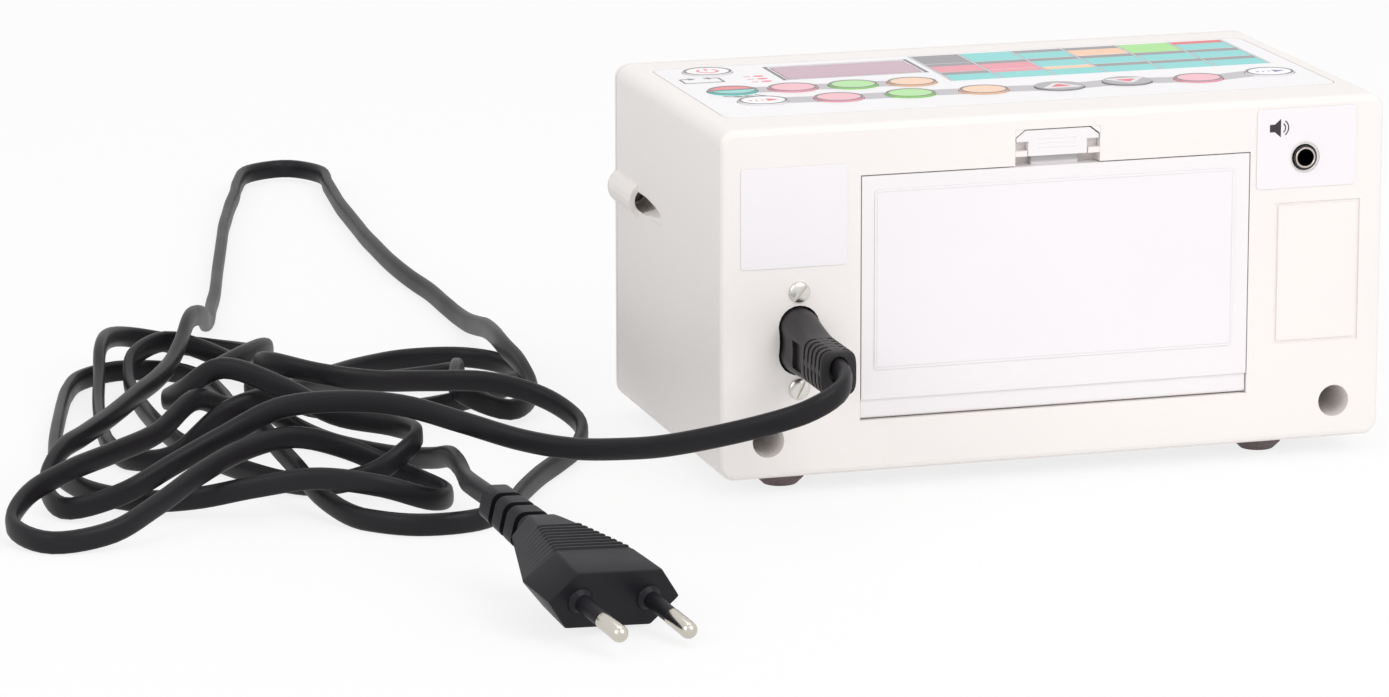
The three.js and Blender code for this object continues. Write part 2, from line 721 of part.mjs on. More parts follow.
function foot(x, y) {
  return bar('z', footRadius - footChamfer, [0, footChamfer], [x, y], roundSides, footRadius)
    .add(bar('z', footRadius, [footChamfer, bottomZ - fitGap], [x, y]));
}

function cellX(index) {
  return (index - (cellCount - 1) / 2) * cellPitch;
}

function inOrder(a, b) {
  return [Math.min(a, b), Math.max(a, b)];
}

// Cells stand side by side, each one turned over against the last.
function batteryCell(index) {
  const up = index % 2 === 0;
  const plateGap = contactThickness + 2 * fitGap;
  const nubEnd = up ? bayZ[1] - plateGap : bayZ[0] + plateGap;
  const inward = up ? -1 : 1;
  const shoulder = nubEnd + inward * cellNub;
  const spot = [cellX(index), cellY];
  return bar('z', cellRadius, inOrder(shoulder, nubEnd + inward * cellLength), spot)
    .add(bar('z', cellNubRadius, inOrder(nubEnd, shoulder + inward * contactThickness), spot, smallSides));
}

// A contact plate at the top or bottom of the bay, with a spring under each flat cell end.
function contactPlate(end, indices) {
  const top = end === 'top';
  const inward = top ? -1 : 1;
  const z = top ? [bayZ[1] - fitGap - contactThickness, bayZ[1] - fitGap]
    : [bayZ[0] + fitGap, bayZ[0] + fitGap + contactThickness];
  const half = cellRadius - fitGap;
  const xs = indices.map(cellX);
  const parts = [block([Math.min(...xs) - half, Math.max(...xs) + half], [cellY - half, cellY + half], z)];
  for (const index of indices.filter((i) => top !== (i % 2 === 0))) {
    const root = top ? z[0] : z[1];
    const tip = root + inward * (springLength - contactThickness);
    const span = inOrder(root - inward * contactThickness / 2, tip);
    const radii = top ? [cellNubRadius, springSeatRadius] : [springSeatRadius, cellNubRadius];
    parts.push(bar('z', radii[0], span, [cellX(index), cellY], smallSides, radii[1]));
  }
  return union(parts);
}

const hingeY = doorStripStep + (doorThickness - doorStripStep) / 2;
const hingeRadius = (doorThickness - doorStripStep) / 2;
const hingeZ = doorBottomZ + hingeRadius;

function batteryDoor() {
  const plate = block(doorX, [0, doorThickness], [hingeZ, doorTopZ]);
  const strip = block([doorX[0] - overrun, doorX[1] + overrun], [-overrun, doorStripStep],
    [hingeZ - overrun, doorBottomZ + doorStripHeight]);
  const edge = bar('x', hingeRadius, doorX, [hingeY, hingeZ], smallSides);
  const bridge = block([-tongueHalf, tongueHalf], [doorThickness / 2, tongueY[1]],
    [doorTopZ - tongueThickness, doorTopZ]);
  const tongue = block([-tongueHalf, tongueHalf], tongueY, [doorTopZ - tongueThickness, tongueTopZ]);
  return union([plate.subtract(strip), edge, bridge, tongue]);
}

function doorLatch() {
  return prism(latchOutline(0, 0), 'y', latchY);
}

function sticker({ x, z }) {
  return prism(roundedOutline(x, z, stickerCorner), 'y', [-stickerGap - stickerThickness, -stickerGap]);
}

// The jack label has a hole round the jack.
function jackSticker() {
  return sticker(jackLabel).subtract(
    bar('y', jackRingRadius + 3 * fitGap, [-overrun, overrun], [jackX, jackZ]));
}

place('rear_housing', rearHousing(), paint.shell);
place('front_shell', frontShell(), paint.shell);
place('membrane_overlay', membraneOverlay(), paint.overlay);
place('display_window', displayWindow(), paint.window);
place('display_module', displayModule(), paint.black);
for (const [name, x, y, material] of keys) {
  place(name, keyCap(x, y), material);
}
place('main_board', mainBoard(), paint.board);
place('power_board', powerBoard(), paint.board);
place('speaker_frame', speakerFrame(), paint.steel);
place('speaker_cone', speakerCone(), paint.cone);
place('speaker_magnet', speakerMagnet(), paint.magnet);
place('mains_inlet', mainsInlet(), paint.black);
place('inlet_pin_upper', inletPin(1), paint.nickel);
place('inlet_pin_lower', inletPin(-1), paint.nickel);
for (const [name, side] of [['inlet_screw_upper', 1], ['inlet_screw_lower', -1]]) {
  place(name, screw(inletX, inletZ + side * inletScrewPitch / 2, -stickerGap, screwHead, screwHeadHeight,
    inletScrewLength), paint.nickel);
}
place('aux_jack', auxJack(), paint.black);
for (const [name, side] of [['case_screw_left', -1], ['case_screw_right', 1]]) {
  place(name, screw(side * tunnelX, tunnelZ, tunnelEndY - stickerGap, caseScrewHead, caseScrewHeadHeight,
    caseScrewLength), paint.steel);
}
for (const [name, side] of [['lug_screw_left', -1], ['lug_screw_right', 1]]) {
  place(name, screw(side * lugX, lugZ, lugLedgeY - stickerGap, screwHead, screwHeadHeight,
    lugScrewLength), paint.steel);
}
for (const [name, x, y] of feet) {
  place(name, foot(x, y), paint.rubber);
}
for (let index = 0; index < cellCount; index += 1) {
  place(`battery_cell_${index + 1}`, batteryCell(index), paint.cell);
}
for (let index = 0; index < cellCount; index += 2) {
  place(`contact_top_${index / 2 + 1}`, contactPlate('top', [index, index + 1]), paint.nickel);
}
place('contact_bottom_1', contactPlate('bottom', [0]), paint.nickel);
for (let index = 1; index + 1 < cellCount; index += 2) {
  place(`contact_bottom_${(index + 1) / 2 + 1}`, contactPlate('bottom', [index, index + 1]), paint.nickel);
}
place(`contact_bottom_${cellCount / 2 + 1}`, contactPlate('bottom', [cellCount - 1]), paint.nickel);
place('battery_door', batteryDoor(), paint.door);
place('door_latch', doorLatch(), paint.door);
place(doorLabel.name, sticker(doorLabel), paint.sticker);
place(noticeLabel.name, sticker(noticeLabel), paint.sticker);
place(jackLabel.name, jackSticker(), paint.sticker);

// Mains lead: a flat two-core lead that stands on its edge in loose loops on the floor
const leadHeight = 5.4;
const leadWidth = 3.2;
const leadSteps = 250;
const leadSides = 8;
const leadRestZ = leadHeight / 2;
const connectorWidth = 9.4;
const connectorHeight = 16.2;
const connectorNoseDepth = 13;
const connectorBodyEndY = -22;
const connectorEndY = -31;
const connectorGripWidth = 9.1;
const connectorGripHeight = 14.6;
const connectorEndWidth = 8.8;
const connectorEndHeight = 11;
const connectorBore = 1.6;
const connectorBoreDepth = 14;
const connectorRibs = 5;
const connectorRibPitch = 2.1;
const connectorRibCut = 1.2;
const connectorRibDepth = 0.9;
const connectorRibStart = 2;
const connectorShoulder = 1;
const connectorCornerShare = 0.33;
const strandAway = 27;

const leadRoute = [
  [-65.3, -31.5, 38.4], [-65.9, -38.5, 38], [-69.5, -45, 36.2], [-77, -47, 33], [-86, -42.5, 29.2],
  [-104.5, -24, 21.1], [-113, -12, 17.9], [-122, 0, 15.8], [-132, 11, 16.1], [-144, 19.5, 19.2],
  [-157, 26, 22.7], [-171.5, 29.5, 24], [-186.5, 31.5, 22.8], [-200, 30, 17.4], [-213.5, 26, 12.2],
  [-227, 22, 6.9], [-239.5, 28, 2.9], [-241.5, 42, 5.6], [-235.5, 54.5, 10.2], [-227.5, 67.5, 10.5],
  [-220, 80.5, 10.4], [-213, 93.5, 10.4], [-206, 107, 10.5], [-199, 120, 10.5], [-192.5, 134, 11],
  [-187, 147.5, 13.1], [-182, 161.5, 15.7], [-177, 175.5, 13.9], [-172.5, 189.5, 10.1], [-169, 203, 5.6],
  [-165, 217.5, 3.3], [-161.5, 232, 2.7], [-157.5, 246.5, 2.7], [-154, 261, 2.7], [-150.5, 276, 2.7],
  [-147, 290.5, 2.7], [-143.5, 305, 2.7], [-140, 319.5, 2.7], [-136.5, 334, 2.7], [-132.5, 348.5, 2.7],
  [-128.5, 363, 2.7], [-124, 377.5, 2.9], [-120, 392, 3.1], [-114, 405.5, 3.6], [-101, 410.5, 3.6],
  [-93, 398.5, 3.6], [-94, 384, 3], [-95.5, 369, 2.8], [-97, 354, 2.7], [-98, 339, 2.7], [-99, 324, 2.7],
  [-100, 309, 2.7], [-100.5, 294, 2.7], [-101, 279, 2.7], [-101, 264, 2.7], [-100.5, 249, 2.7],
  [-99.5, 234, 2.7], [-99.5, 219, 2.7], [-99.5, 204, 2.8], [-100, 189, 3.9], [-101, 174, 6.3],
  [-102.5, 159.5, 9], [-104, 144.5, 10.6], [-105, 129.5, 10.6], [-104.5, 114.5, 8.9], [-105.5, 100.5, 4.8],
  [-114.5, 90, 3.8], [-126, 96, 8.3], [-123, 110, 10.4], [-120, 123.5, 6.5], [-130, 132, 3.5],
  [-143.5, 126.5, 4.5], [-153, 115.5, 7.5], [-162, 103.5, 10.5], [-171, 92, 12.4], [-181, 80.5, 13.2],
  [-191, 69.5, 14.6], [-201.5, 59, 19.6], [-212.5, 49.5, 14.4], [-225, 41, 12.4], [-237.5, 32.5, 10.9],
  [-249, 23.5, 8], [-255, 11, 4.1], [-248.5, -1.5, 2.7], [-234, -1.5, 4], [-221.5, 5.5, 8],
  [-209.5, 13.5, 12.7], [-197.5, 21.5, 15.7], [-184, 27.5, 16.5], [-170, 31, 11.9], [-157, 28, 5.6],
  [-149, 16.5, 2.8], [-155.5, 4, 4.8], [-169, 1.5, 9.8], [-183, 6.5, 11.3], [-196.5, 13.5, 8.5],
  [-209, 20.5, 5], [-220.5, 29.5, 2.9], [-230, 41.5, 2.7], [-234, 55.5, 2.7], [-234, 70.5, 2.7],
  [-231.5, 85.5, 2.7], [-228.5, 100, 2.7], [-225, 115, 2.7], [-221.5, 129.5, 2.7], [-217.5, 144, 2.8],
  [-211.5, 157.5, 2.8], [-199.5, 165.5, 2.7], [-186.5, 159.5, 2.8], [-181, 146, 2.8], [-180, 131, 2.7],
  [-180.5, 116, 2.7], [-182.5, 101, 2.8], [-184, 86, 3.9], [-185, 71, 6.1], [-185.5, 56.5, 12.1],
  [-184.5, 41.5, 10.6], [-183, 27, 8.8], [-180, 12.5, 4.9], [-174, -1, 2.7], [-162.5, -10.5, 2.7],
  [-148, -10, 2.7], [-137.5, 0.5, 2.7], [-130.5, 13.5, 2.7], [-123, 26.5, 2.7], [-114.5, 39, 2.7],
  [-106.5, 51.5, 3.3], [-102.5, 66, 5.4], [-108.5, 79, 9.3], [-121, 85, 12.6], [-136, 84.5, 14.1],
  [-150.5, 81, 15.9], [-165, 81.5, 18.6], [-175, 92, 19.8], [-175, 106, 16.1], [-168, 118.5, 11.1],
  [-160, 130, 6.1], [-150.5, 141, 3.3], [-139, 151, 2.7], [-125.5, 156.5, 2.8], [-110.5, 154.5, 2.8],
  [-101.5, 143.5, 2.7], [-101.5, 128.5, 2.7], [-110, 116.5, 2.7], [-122, 107.5, 2.7], [-135, 100, 3.2],
  [-147, 91.5, 5.1], [-158.5, 82.5, 8.5], [-169, 72.5, 12.5], [-180.5, 63, 17.9], [-193.5, 57.5, 16.6],
  [-206.5, 59.5, 5.9], [-215.5, 70.5, 2.9], [-217.5, 85, 2.7], [-216.5, 100, 2.7], [-214.5, 115, 2.7],
  [-212, 130, 3.6], [-209, 144.5, 6.2], [-206, 158.5, 10.2], [-201, 172.5, 10], [-192.5, 184.5, 7],
  [-179, 187, 3.5], [-167, 178, 3], [-163, 164, 5.1], [-163.5, 150, 9.2], [-168, 136, 13.2],
  [-176, 123.5, 14.4], [-186, 112.5, 13.5], [-195.5, 101, 12.3], [-202.5, 87.5, 13.3], [-201.5, 73.5, 18.3],
  [-193.5, 62.5, 26.3], [-181, 54.5, 22.6], [-168.5, 48.5, 16], [-156, 40.5, 14.3], [-153.5, 27, 14.4],
  [-164.5, 21, 8.4], [-176, 28.5, 3.9], [-185, 40.5, 2.7], [-191.5, 54, 2.7], [-196.5, 68, 2.7],
  [-200, 82.5, 2.7], [-201.5, 97.5, 2.7], [-202, 112.5, 2.7], [-202, 127.5, 3.1], [-201.5, 142.5, 4.8],
  [-197.5, 156.5, 8.4], [-186.5, 165, 9.9], [-174, 160.5, 5.8], [-169.5, 146.5, 4.5], [-172, 132, 5.7],
  [-175, 117, 6.6], [-174.5, 102, 6], [-171, 88, 4.3], [-165, 74, 2.9], [-158, 61, 3], [-152, 47, 4.5],
  [-148, 33, 7.4], [-147.5, 18.5, 11.2], [-149, 3.5, 13], [-151.5, -11, 14.6], [-154.5, -25.5, 16.9],
  [-156.5, -40, 19.2], [-155.7, -54.5, 19.6],
];

// A smooth curve through the route that never dips into the floor and keeps the flat lead on edge.
class LaidCurve extends THREE.CatmullRomCurve3 {
  getPoint(t, target = new THREE.Vector3()) {
    super.getPoint(t, target);
    target.z = Math.max(target.z, leadRestZ);
    return target;
  }

  computeFrenetFrames(segments) {
    const tangents = [];
    const normals = [];
    const binormals = [];
    const up = new THREE.Vector3(0, 0, 1);
    for (let i = 0; i <= segments; i += 1) {
      const tangent = this.getTangentAt(i / segments, new THREE.Vector3());
      const normal = up.clone().addScaledVector(tangent, -up.dot(tangent)).normalize();
      tangents.push(tangent);
      normals.push(normal);
      binormals.push(new THREE.Vector3().crossVectors(tangent, normal));
    }
    return { tangents, normals, binormals };
  }
}

function mainsLead() {
  const route = new LaidCurve(leadRoute.map((point) => new THREE.Vector3(...point)), false, 'centripetal');
  route.arcLengthDivisions = 10 * leadRoute.length;
  const section = new THREE.Shape();
  section.absellipse(0, 0, leadHeight / 2, leadWidth / 2, 0, Math.PI * 2);
  const geometry = new THREE.ExtrudeGeometry(section, {
    steps: leadSteps,
    curveSegments: leadSides / 2,
    bevelEnabled: false,
    extrudePath: route,
  });
  return { route, solid: solidFrom(geometry) };
}

// The least gap of the lead to itself: where strands cross it is measured upward, elsewhere sideways.
function leastGap(route) {
  const length = route.getLength();
  const spacing = leadWidth / 2;
  const points = route.getSpacedPoints(Math.ceil(length / spacing));
  const skip = Math.ceil(strandAway / spacing);
  let least = length;
  for (let i = 0; i < points.length; i += 1) {
    for (let j = i + skip; j < points.length; j += 1) {
      const aside = Math.hypot(points[i].x - points[j].x, points[i].y - points[j].y) - leadWidth;
      const above = Math.abs(points[i].z - points[j].z) - leadHeight;
      least = Math.min(least, Math.max(aside, above));
    }
  }
  return least;
}

// A ring with rounded corners across the lead's direction, low end first.
function connectorOutline(width, height) {
  return roundedOutline([-width / 2, width / 2], [-height / 2, height / 2], connectorCornerShare * width);
}

function connectorRing(y, width, height) {
  const points = connectorOutline(width, height).getPoints(ringSteps).slice(0, -1);
  return points.filter((point, i) => i === 0 || point.distanceTo(points[i - 1]) > weldDistance)
    .map((point) => [inletX + point.x, y, inletZ + point.y]);
}

// The connector is a nose in the inlet, a ribbed grip behind it and a shorter end that holds the lead.
function mainsConnector() {
  const middle = connectorBodyEndY / 2;
  const front = prism(figureEight(connectorWidth, connectorHeight), 'y', [middle, connectorNoseDepth],
    { steps: figureSteps });
  const grip = prism(connectorOutline(connectorGripWidth, connectorGripHeight), 'y',
    [connectorBodyEndY, middle + overrun]);
  const end = loft([
    connectorRing(connectorEndY, connectorEndWidth, connectorEndHeight),
    connectorRing(connectorBodyEndY + connectorShoulder, connectorEndWidth,
      connectorGripHeight - connectorShoulder),
  ]);
  const acrossX = [inletX - connectorWidth, inletX + connectorWidth];
  const acrossZ = [inletZ - connectorHeight, inletZ + connectorHeight];
  const coreHalf = connectorWidth / 2 - connectorRibDepth;
  const cuts = [];
  for (let rib = 0; rib < connectorRibs; rib += 1) {
    const y = connectorBodyEndY + connectorRibStart + rib * connectorRibPitch;
    const long = [y - overrun, y + connectorRibCut + overrun];
    const core = block([inletX - coreHalf, inletX + coreHalf], long, acrossZ);
    const spine = block(acrossX, long, [inletZ - connectorRibDepth, inletZ + connectorRibDepth]);
    cuts.push(block(acrossX, [y, y + connectorRibCut], acrossZ).subtract(core).subtract(spine));
  }
  for (const side of [-1, 1]) {
    cuts.push(bar('y', connectorBore, [connectorNoseDepth - connectorBoreDepth, connectorNoseDepth + overrun],
      [inletX, inletZ + side * inletPinSpacing / 2], smallSides));
  }
  return cutFrom(front.add(grip).translate([inletX, 0, inletZ]), cuts).add(end);
}

// Europlug: x across the pins, y up, z out along the pins, then turned to lie as it was dropped
const plugWidth = 35.3;
const plugFaceWidth = 22.6;
const plugHeight = 13.7;
const plugFacetDepth = 11;
const plugBodyDepth = 34;
const plugTailWidth = 14;
const plugTailHeight = 10.5;
const plugNeckLength = 20;
const plugNeckWidth = 9.6;
const plugNeckHeight = 9;
const plugNeckEndWidth = 7.6;
const plugNeckEndHeight = 8;
const plugSlots = 3;
const plugSlotPitch = 5.6;
const plugSlotWidth = 1.6;
const plugSlotDepth = 1.6;
const plugSlotHeight = 6;
const plugSlotStart = 1.8;
const plugFlatBackShare = 0.9;
const plugTailFlatShare = 0.5;
const plugNeckFlatShare = 0.7;
const pinRadius = 2;
const pinSpacing = 18.2;
const pinLength = 19;
const pinRoot = 8;
const pinTipLength = 1.6;
const pinTipRadius = 1.1;
const plugPlace = new THREE.Vector3(-141, -106, 8.2);
const plugYaw = THREE.MathUtils.degToRad(15.9);
const plugPitch = THREE.MathUtils.degToRad(12);
const plugRoll = THREE.MathUtils.degToRad(-6.5);

function plugRing(z, width, flat, height) {
  const w = width / 2;
  const f = flat / 2;
  const h = height / 2;
  return [[w, 0, z], [f, h, z], [0, h, z], [-f, h, z], [-w, 0, z], [-f, -h, z], [0, -h, z], [f, -h, z]];
}

function plugBody() {
  const body = loft([
    plugRing(-plugBodyDepth, plugTailWidth, plugTailFlatShare * plugTailWidth, plugTailHeight),
    plugRing(-plugFacetDepth, plugWidth, plugFlatBackShare * plugFaceWidth, plugHeight),
    plugRing(0, plugWidth, plugFaceWidth, plugHeight),
  ]);
  const neckZ = -plugBodyDepth;
  const neck = loft([
    plugRing(neckZ - plugNeckLength, plugNeckEndWidth, plugNeckFlatShare * plugNeckEndWidth,
      plugNeckEndHeight),
    plugRing(neckZ + overrun, plugNeckWidth, plugNeckFlatShare * plugNeckWidth, plugNeckHeight),
  ]);
  const slotFloor = plugNeckEndWidth / 2 - plugSlotDepth;
  const cuts = [];
  for (let slot = 0; slot < plugSlots; slot += 1) {
    const z = neckZ - plugSlotStart - plugSlotWidth - plugSlotPitch * slot;
    for (const side of [-1, 1]) {
      cuts.push(block(inOrder(side * slotFloor, side * plugNeckWidth),
        [-plugSlotHeight / 2, plugSlotHeight / 2], [z, z + plugSlotWidth]));
    }
  }
  for (const side of [-1, 1]) {
    cuts.push(bar('z', pinRadius + fitGap, [-pinRoot - fitGap, overrun], [side * pinSpacing / 2, 0],
      smallSides));
  }
  return cutFrom(body.add(neck), cuts);
}

function plugPin(side) {
  const spot = [side * pinSpacing / 2, 0];
  return bar('z', pinRadius, [-pinRoot, pinLength - pinTipLength], spot, smallSides)
    .add(bar('z', pinRadius, [pinLength - pinTipLength, pinLength], spot, smallSides, pinTipRadius));
}

const lead = mainsLead();
place('mains_connector', mainsConnector(), paint.black);
place('mains_lead', lead.solid, paint.black);
console.log(`mains lead: ${lead.route.getLength().toFixed(0)} mm long, least gap to itself `
  + `${leastGap(lead.route).toFixed(2)} mm`);

const plug = new THREE.Group();
const nose = new THREE.Vector3(Math.sin(plugYaw) * Math.cos(plugPitch),
  -Math.cos(plugYaw) * Math.cos(plugPitch), -Math.sin(plugPitch));
const level = new THREE.Vector3(Math.cos(plugYaw), Math.sin(plugYaw), 0);
const upright = new THREE.Vector3().crossVectors(nose, level);
const across = level.clone().multiplyScalar(Math.cos(plugRoll)).addScaledVector(upright, Math.sin(plugRoll));
const over = new THREE.Vector3().crossVectors(nose, across);
plug.applyMatrix4(new THREE.Matrix4().makeBasis(across, over, nose));
plug.position.copy(plugPlace);
box.add(plug);
place('mains_plug', plugBody(), paint.black, plug);
place('plug_pin_left', plugPin(-1), paint.nickel, plug);
place('plug_pin_right', plugPin(1), paint.nickel, plug);

// The origin is on the floor under the middle of the box, from the inlet's screw heads to the front face.
const rearmost = Math.max(jackStandOut, screwHeadHeight + stickerGap);
box.position.y = (rearmost - frontY) / 2;
tanpura.updateMatrixWorld(true);

export default tanpura;
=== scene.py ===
# Electronic tanpura with its mains lead, dressed for the photograph.
# Lengths are in millimetres from the middle of the rear face's foot line until place() turns them
# into the frame's metres: x to the right, y away from the rear face, z up from the floor. Lamps, the
# floor and the widths of broken edges are in metres.
import json
from math import asin, atan2, ceil, copysign, cos, pi, radians, sin, sqrt

import bmesh
import bpy
import numpy as np
from mathutils import Matrix, Vector


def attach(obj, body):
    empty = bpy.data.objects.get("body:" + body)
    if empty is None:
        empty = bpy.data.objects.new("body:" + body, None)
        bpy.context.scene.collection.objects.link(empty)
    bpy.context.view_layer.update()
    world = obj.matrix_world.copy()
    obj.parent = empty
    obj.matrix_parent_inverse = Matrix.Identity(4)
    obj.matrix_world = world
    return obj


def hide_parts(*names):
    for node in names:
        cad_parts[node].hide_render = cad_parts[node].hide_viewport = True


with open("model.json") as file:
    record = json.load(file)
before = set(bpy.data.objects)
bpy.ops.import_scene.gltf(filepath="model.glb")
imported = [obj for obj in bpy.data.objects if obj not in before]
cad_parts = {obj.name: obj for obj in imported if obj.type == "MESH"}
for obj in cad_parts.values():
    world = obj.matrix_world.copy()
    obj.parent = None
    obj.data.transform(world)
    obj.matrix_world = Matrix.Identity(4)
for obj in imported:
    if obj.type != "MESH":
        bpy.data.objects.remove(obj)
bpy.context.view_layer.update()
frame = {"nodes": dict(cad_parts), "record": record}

# The camera stands behind the box, a little to its left and above, with a long lens.
# Its place and angles were solved from the box's own corners and the plug in the photograph.
REAR_FACE_Y = -48.025
PHOTO_WIDTH = 1389
FOCAL_PIXELS = 6000.0
SENSOR_MM = 36.0
CAMERA_YAW, CAMERA_PITCH, CAMERA_ROLL = 16.248, 13.095, -0.141
CAMERA_DISTANCE = 1433.684
CAMERA_TARGET = (-91.513, 0.0, 38.204)


def place(x, y, z):
    return Vector((x, y + REAR_FACE_Y, z)) / 1000


def add_object(name, data):
    made = bpy.data.objects.new(name, data)
    bpy.context.scene.collection.objects.link(made)
    return made


def aim(thing, spot, turn):
    """Sets where a camera or lamp stands and how it is turned."""
    thing.location = spot
    thing.rotation_mode = "QUATERNION"
    thing.rotation_quaternion = turn


yaw, pitch, roll = (radians(a) for a in (CAMERA_YAW, CAMERA_PITCH, CAMERA_ROLL))
ahead = Vector((sin(yaw) * cos(pitch), cos(yaw) * cos(pitch), -sin(pitch)))
camera_data = bpy.data.cameras.new("photo_camera")
camera_data.sensor_fit = "HORIZONTAL"
camera_data.sensor_width = SENSOR_MM
camera_data.lens = FOCAL_PIXELS / PHOTO_WIDTH * SENSOR_MM
camera_data.clip_start, camera_data.clip_end = 0.05, 50
camera = add_object("photo_camera", camera_data)
aim(camera, place(*CAMERA_TARGET) - ahead * CAMERA_DISTANCE / 1000,
    ahead.to_track_quat("-Z", "Y") @ Matrix.Rotation(roll, 3, "Z").to_quaternion())
bpy.context.scene.camera = camera
bpy.context.scene.view_settings.view_transform = "Standard"

# The floor is a pale seamless sheet with soft lamps over it: a broad one on the camera's right,
# a weaker one on its left, and an even pale sky.
FLOOR_HALF_M = 6.0
SKY_STRENGTH = 0.64
LAMPS = (  # name, place in metres, side in metres, watts
    ("key_lamp", (0.9, -1.9, 1.7), 1.6, 24.6),
    ("fill_lamp", (-1.9, -1.0, 1.2), 1.4, 10.5),
    ("top_lamp", (0.1, 0.3, 2.4), 1.8, 8.0),
)
LAMP_AIM = (-0.08, 0, 0.03)
FLOOR_GLOW = 0.8
CORNERS = ((-1, -1), (1, -1), (1, 1), (-1, 1))
SIDES = ((-1, "left"), (1, "right"))


def set_values(node, values):
    for socket, value in values.items():
        node.inputs[socket].default_value = value
    return node


def add_node(tree, kind, values=()):
    """A new shader node and the values of its inputs."""
    return set_values(tree.nodes.new(kind), dict(values))


def new_material(name, values):
    """A new material with values for its shader, its node tree and that shader."""
    material = bpy.data.materials.new(name)
    material.use_nodes = True
    tree = material.node_tree
    return material, tree, set_values(tree.nodes["Principled BSDF"], values)


def wire(tree, *joins):
    """Links nodes: each join is a node, its output, the next node and its input."""
    for source, output, target, socket in joins:
        tree.links.new(source.outputs[output], target.inputs[socket])


def seen_white(tree, plain, white, share):
    """Mixes plain with white where the camera, a mirror or glass looks at it."""
    path = add_node(tree, "ShaderNodeLightPath")
    seen, output = path, "Is Camera Ray"
    for ray in ("Is Glossy Ray", "Is Transmission Ray"):
        either = add_node(tree, "ShaderNodeMath")
        either.operation = "MAXIMUM"
        wire(tree, (seen, output, either, 0), (path, ray, either, 1))
        seen, output = either, 0
    part = add_node(tree, "ShaderNodeMath", {1: share})
    part.operation = "MULTIPLY"
    mix = add_node(tree, "ShaderNodeMixShader")
    wire(tree, (seen, output, part, 0), (part, 0, mix, 0), (plain, 0, mix, 1), (white, 0, mix, 2))
    return mix.outputs[0]


world = bpy.data.worlds.new("pale_studio")
bpy.context.scene.world = world
world.use_nodes = True
studio = world.node_tree
studio.nodes.clear()
sky, white_sky = (add_node(studio, "ShaderNodeBackground", {"Color": (1, 1, 1, 1), "Strength": strength})
                  for strength in (SKY_STRENGTH, 1.0))
sky_out = add_node(studio, "ShaderNodeOutputWorld")
studio.links.new(seen_white(studio, sky, white_sky, 1.0), sky_out.inputs["Surface"])

floor_mesh = bpy.data.meshes.new("floor")
floor_mesh.from_pydata([(x * FLOOR_HALF_M, y * FLOOR_HALF_M, 0) for x, y in CORNERS], [], [(0, 1, 2, 3)])
floor = add_object("floor", floor_mesh)
floor_paint, floor_tree, sheet = new_material("floor_sheet", {
    "Base Color": (0.93, 0.93, 0.93, 1), "Roughness": 0.8, "Specular IOR Level": 0.2})
glow = add_node(floor_tree, "ShaderNodeEmission")
floor_tree.links.new(seen_white(floor_tree, sheet, glow, FLOOR_GLOW),
                     floor_tree.nodes["Material Output"].inputs["Surface"])
floor_mesh.materials.append(floor_paint)

for name, spot, side, watts in LAMPS:
    lamp_data = bpy.data.lights.new(name, "AREA")
    lamp_data.size = side
    lamp_data.energy = watts
    aim(add_object(name, lamp_data), spot, (Vector(LAMP_AIM) - Vector(spot)).to_track_quat("-Z", "Y"))

# The housing and the shallow front shell are moulded in off-white ABS with a fine spark-eroded
# texture. The front shell is drawn onto the housing by four long screws.
SHELL_TONE = (243, 238, 235)
CASE_TOP = 90.5
EDGE_BREAK = 0.00025
COAT_ROUGH, GRAIN_STRENGTH = 0.12, 0.6


def colour(red, green, blue):
    """An sRGB colour of 0 to 255 as the linear one that a shader takes."""
    return tuple(v / 12.92 if v <= 0.04045 else ((v + 0.055) / 1.055) ** 2.4
                 for v in (red / 255, green / 255, blue / 255)) + (1.0,)


def surface(name, tint, rough, mottle=0.03, spread=0.08, grain=900.0, depth=20, metal=0.0,
            cloud=60.0, shine=0.5, coat=0.0):
    """A finish in an sRGB colour with slow clouds in it, uneven gloss and a fine grain, depth micrometres deep."""
    material, tree, shader = new_material(name, {"Metallic": metal, "Specular IOR Level": shine})
    if coat:
        set_values(shader, {"Coat Weight": coat, "Coat Roughness": COAT_ROUGH})
    where = add_node(tree, "ShaderNodeTexCoord")
    clouds = add_node(tree, "ShaderNodeTexNoise", {"Scale": cloud, "Detail": 4})
    tints = add_node(tree, "ShaderNodeValToRGB")
    for stop, position, factor in zip(tints.color_ramp.elements, (0.3, 0.7), (1 - mottle, 1 + mottle / 2)):
        stop.color = tuple(min(1, c * factor) for c in colour(*tint)[:3]) + (1,)
        stop.position = position
    gloss = add_node(tree, "ShaderNodeMapRange", {"To Min": max(0.02, rough - spread),
                                                  "To Max": min(1.0, rough + spread)})
    pores = add_node(tree, "ShaderNodeTexNoise", {"Scale": grain, "Detail": 3})
    bump = add_node(tree, "ShaderNodeBump", {"Distance": depth / 1e6, "Strength": GRAIN_STRENGTH})
    wire(tree, (where, "Object", clouds, "Vector"), (clouds, "Fac", tints, "Fac"),
         (tints, "Color", shader, "Base Color"), (clouds, "Fac", gloss, "Value"),
         (gloss, "Result", shader, "Roughness"), (where, "Object", pores, "Vector"),
         (pores, "Fac", bump, "Height"), (bump, "Normal", shader, "Normal"))
    return material


def paint(thing, material):
    thing.data.materials.clear()
    thing.data.materials.append(material)


def soften(thing, width=EDGE_BREAK, angle=32):
    """Breaks a piece's sharp edges with a small round and smooths its shading."""
    bevel = thing.modifiers.new("edge_break", "BEVEL")
    bevel.width = width
    bevel.segments = 2
    bevel.limit_method = "ANGLE"
    bevel.angle_limit = radians(angle)
    bevel.harden_normals = False
    normals = thing.modifiers.new("even_normals", "WEIGHTED_NORMAL")
    normals.keep_sharp = True


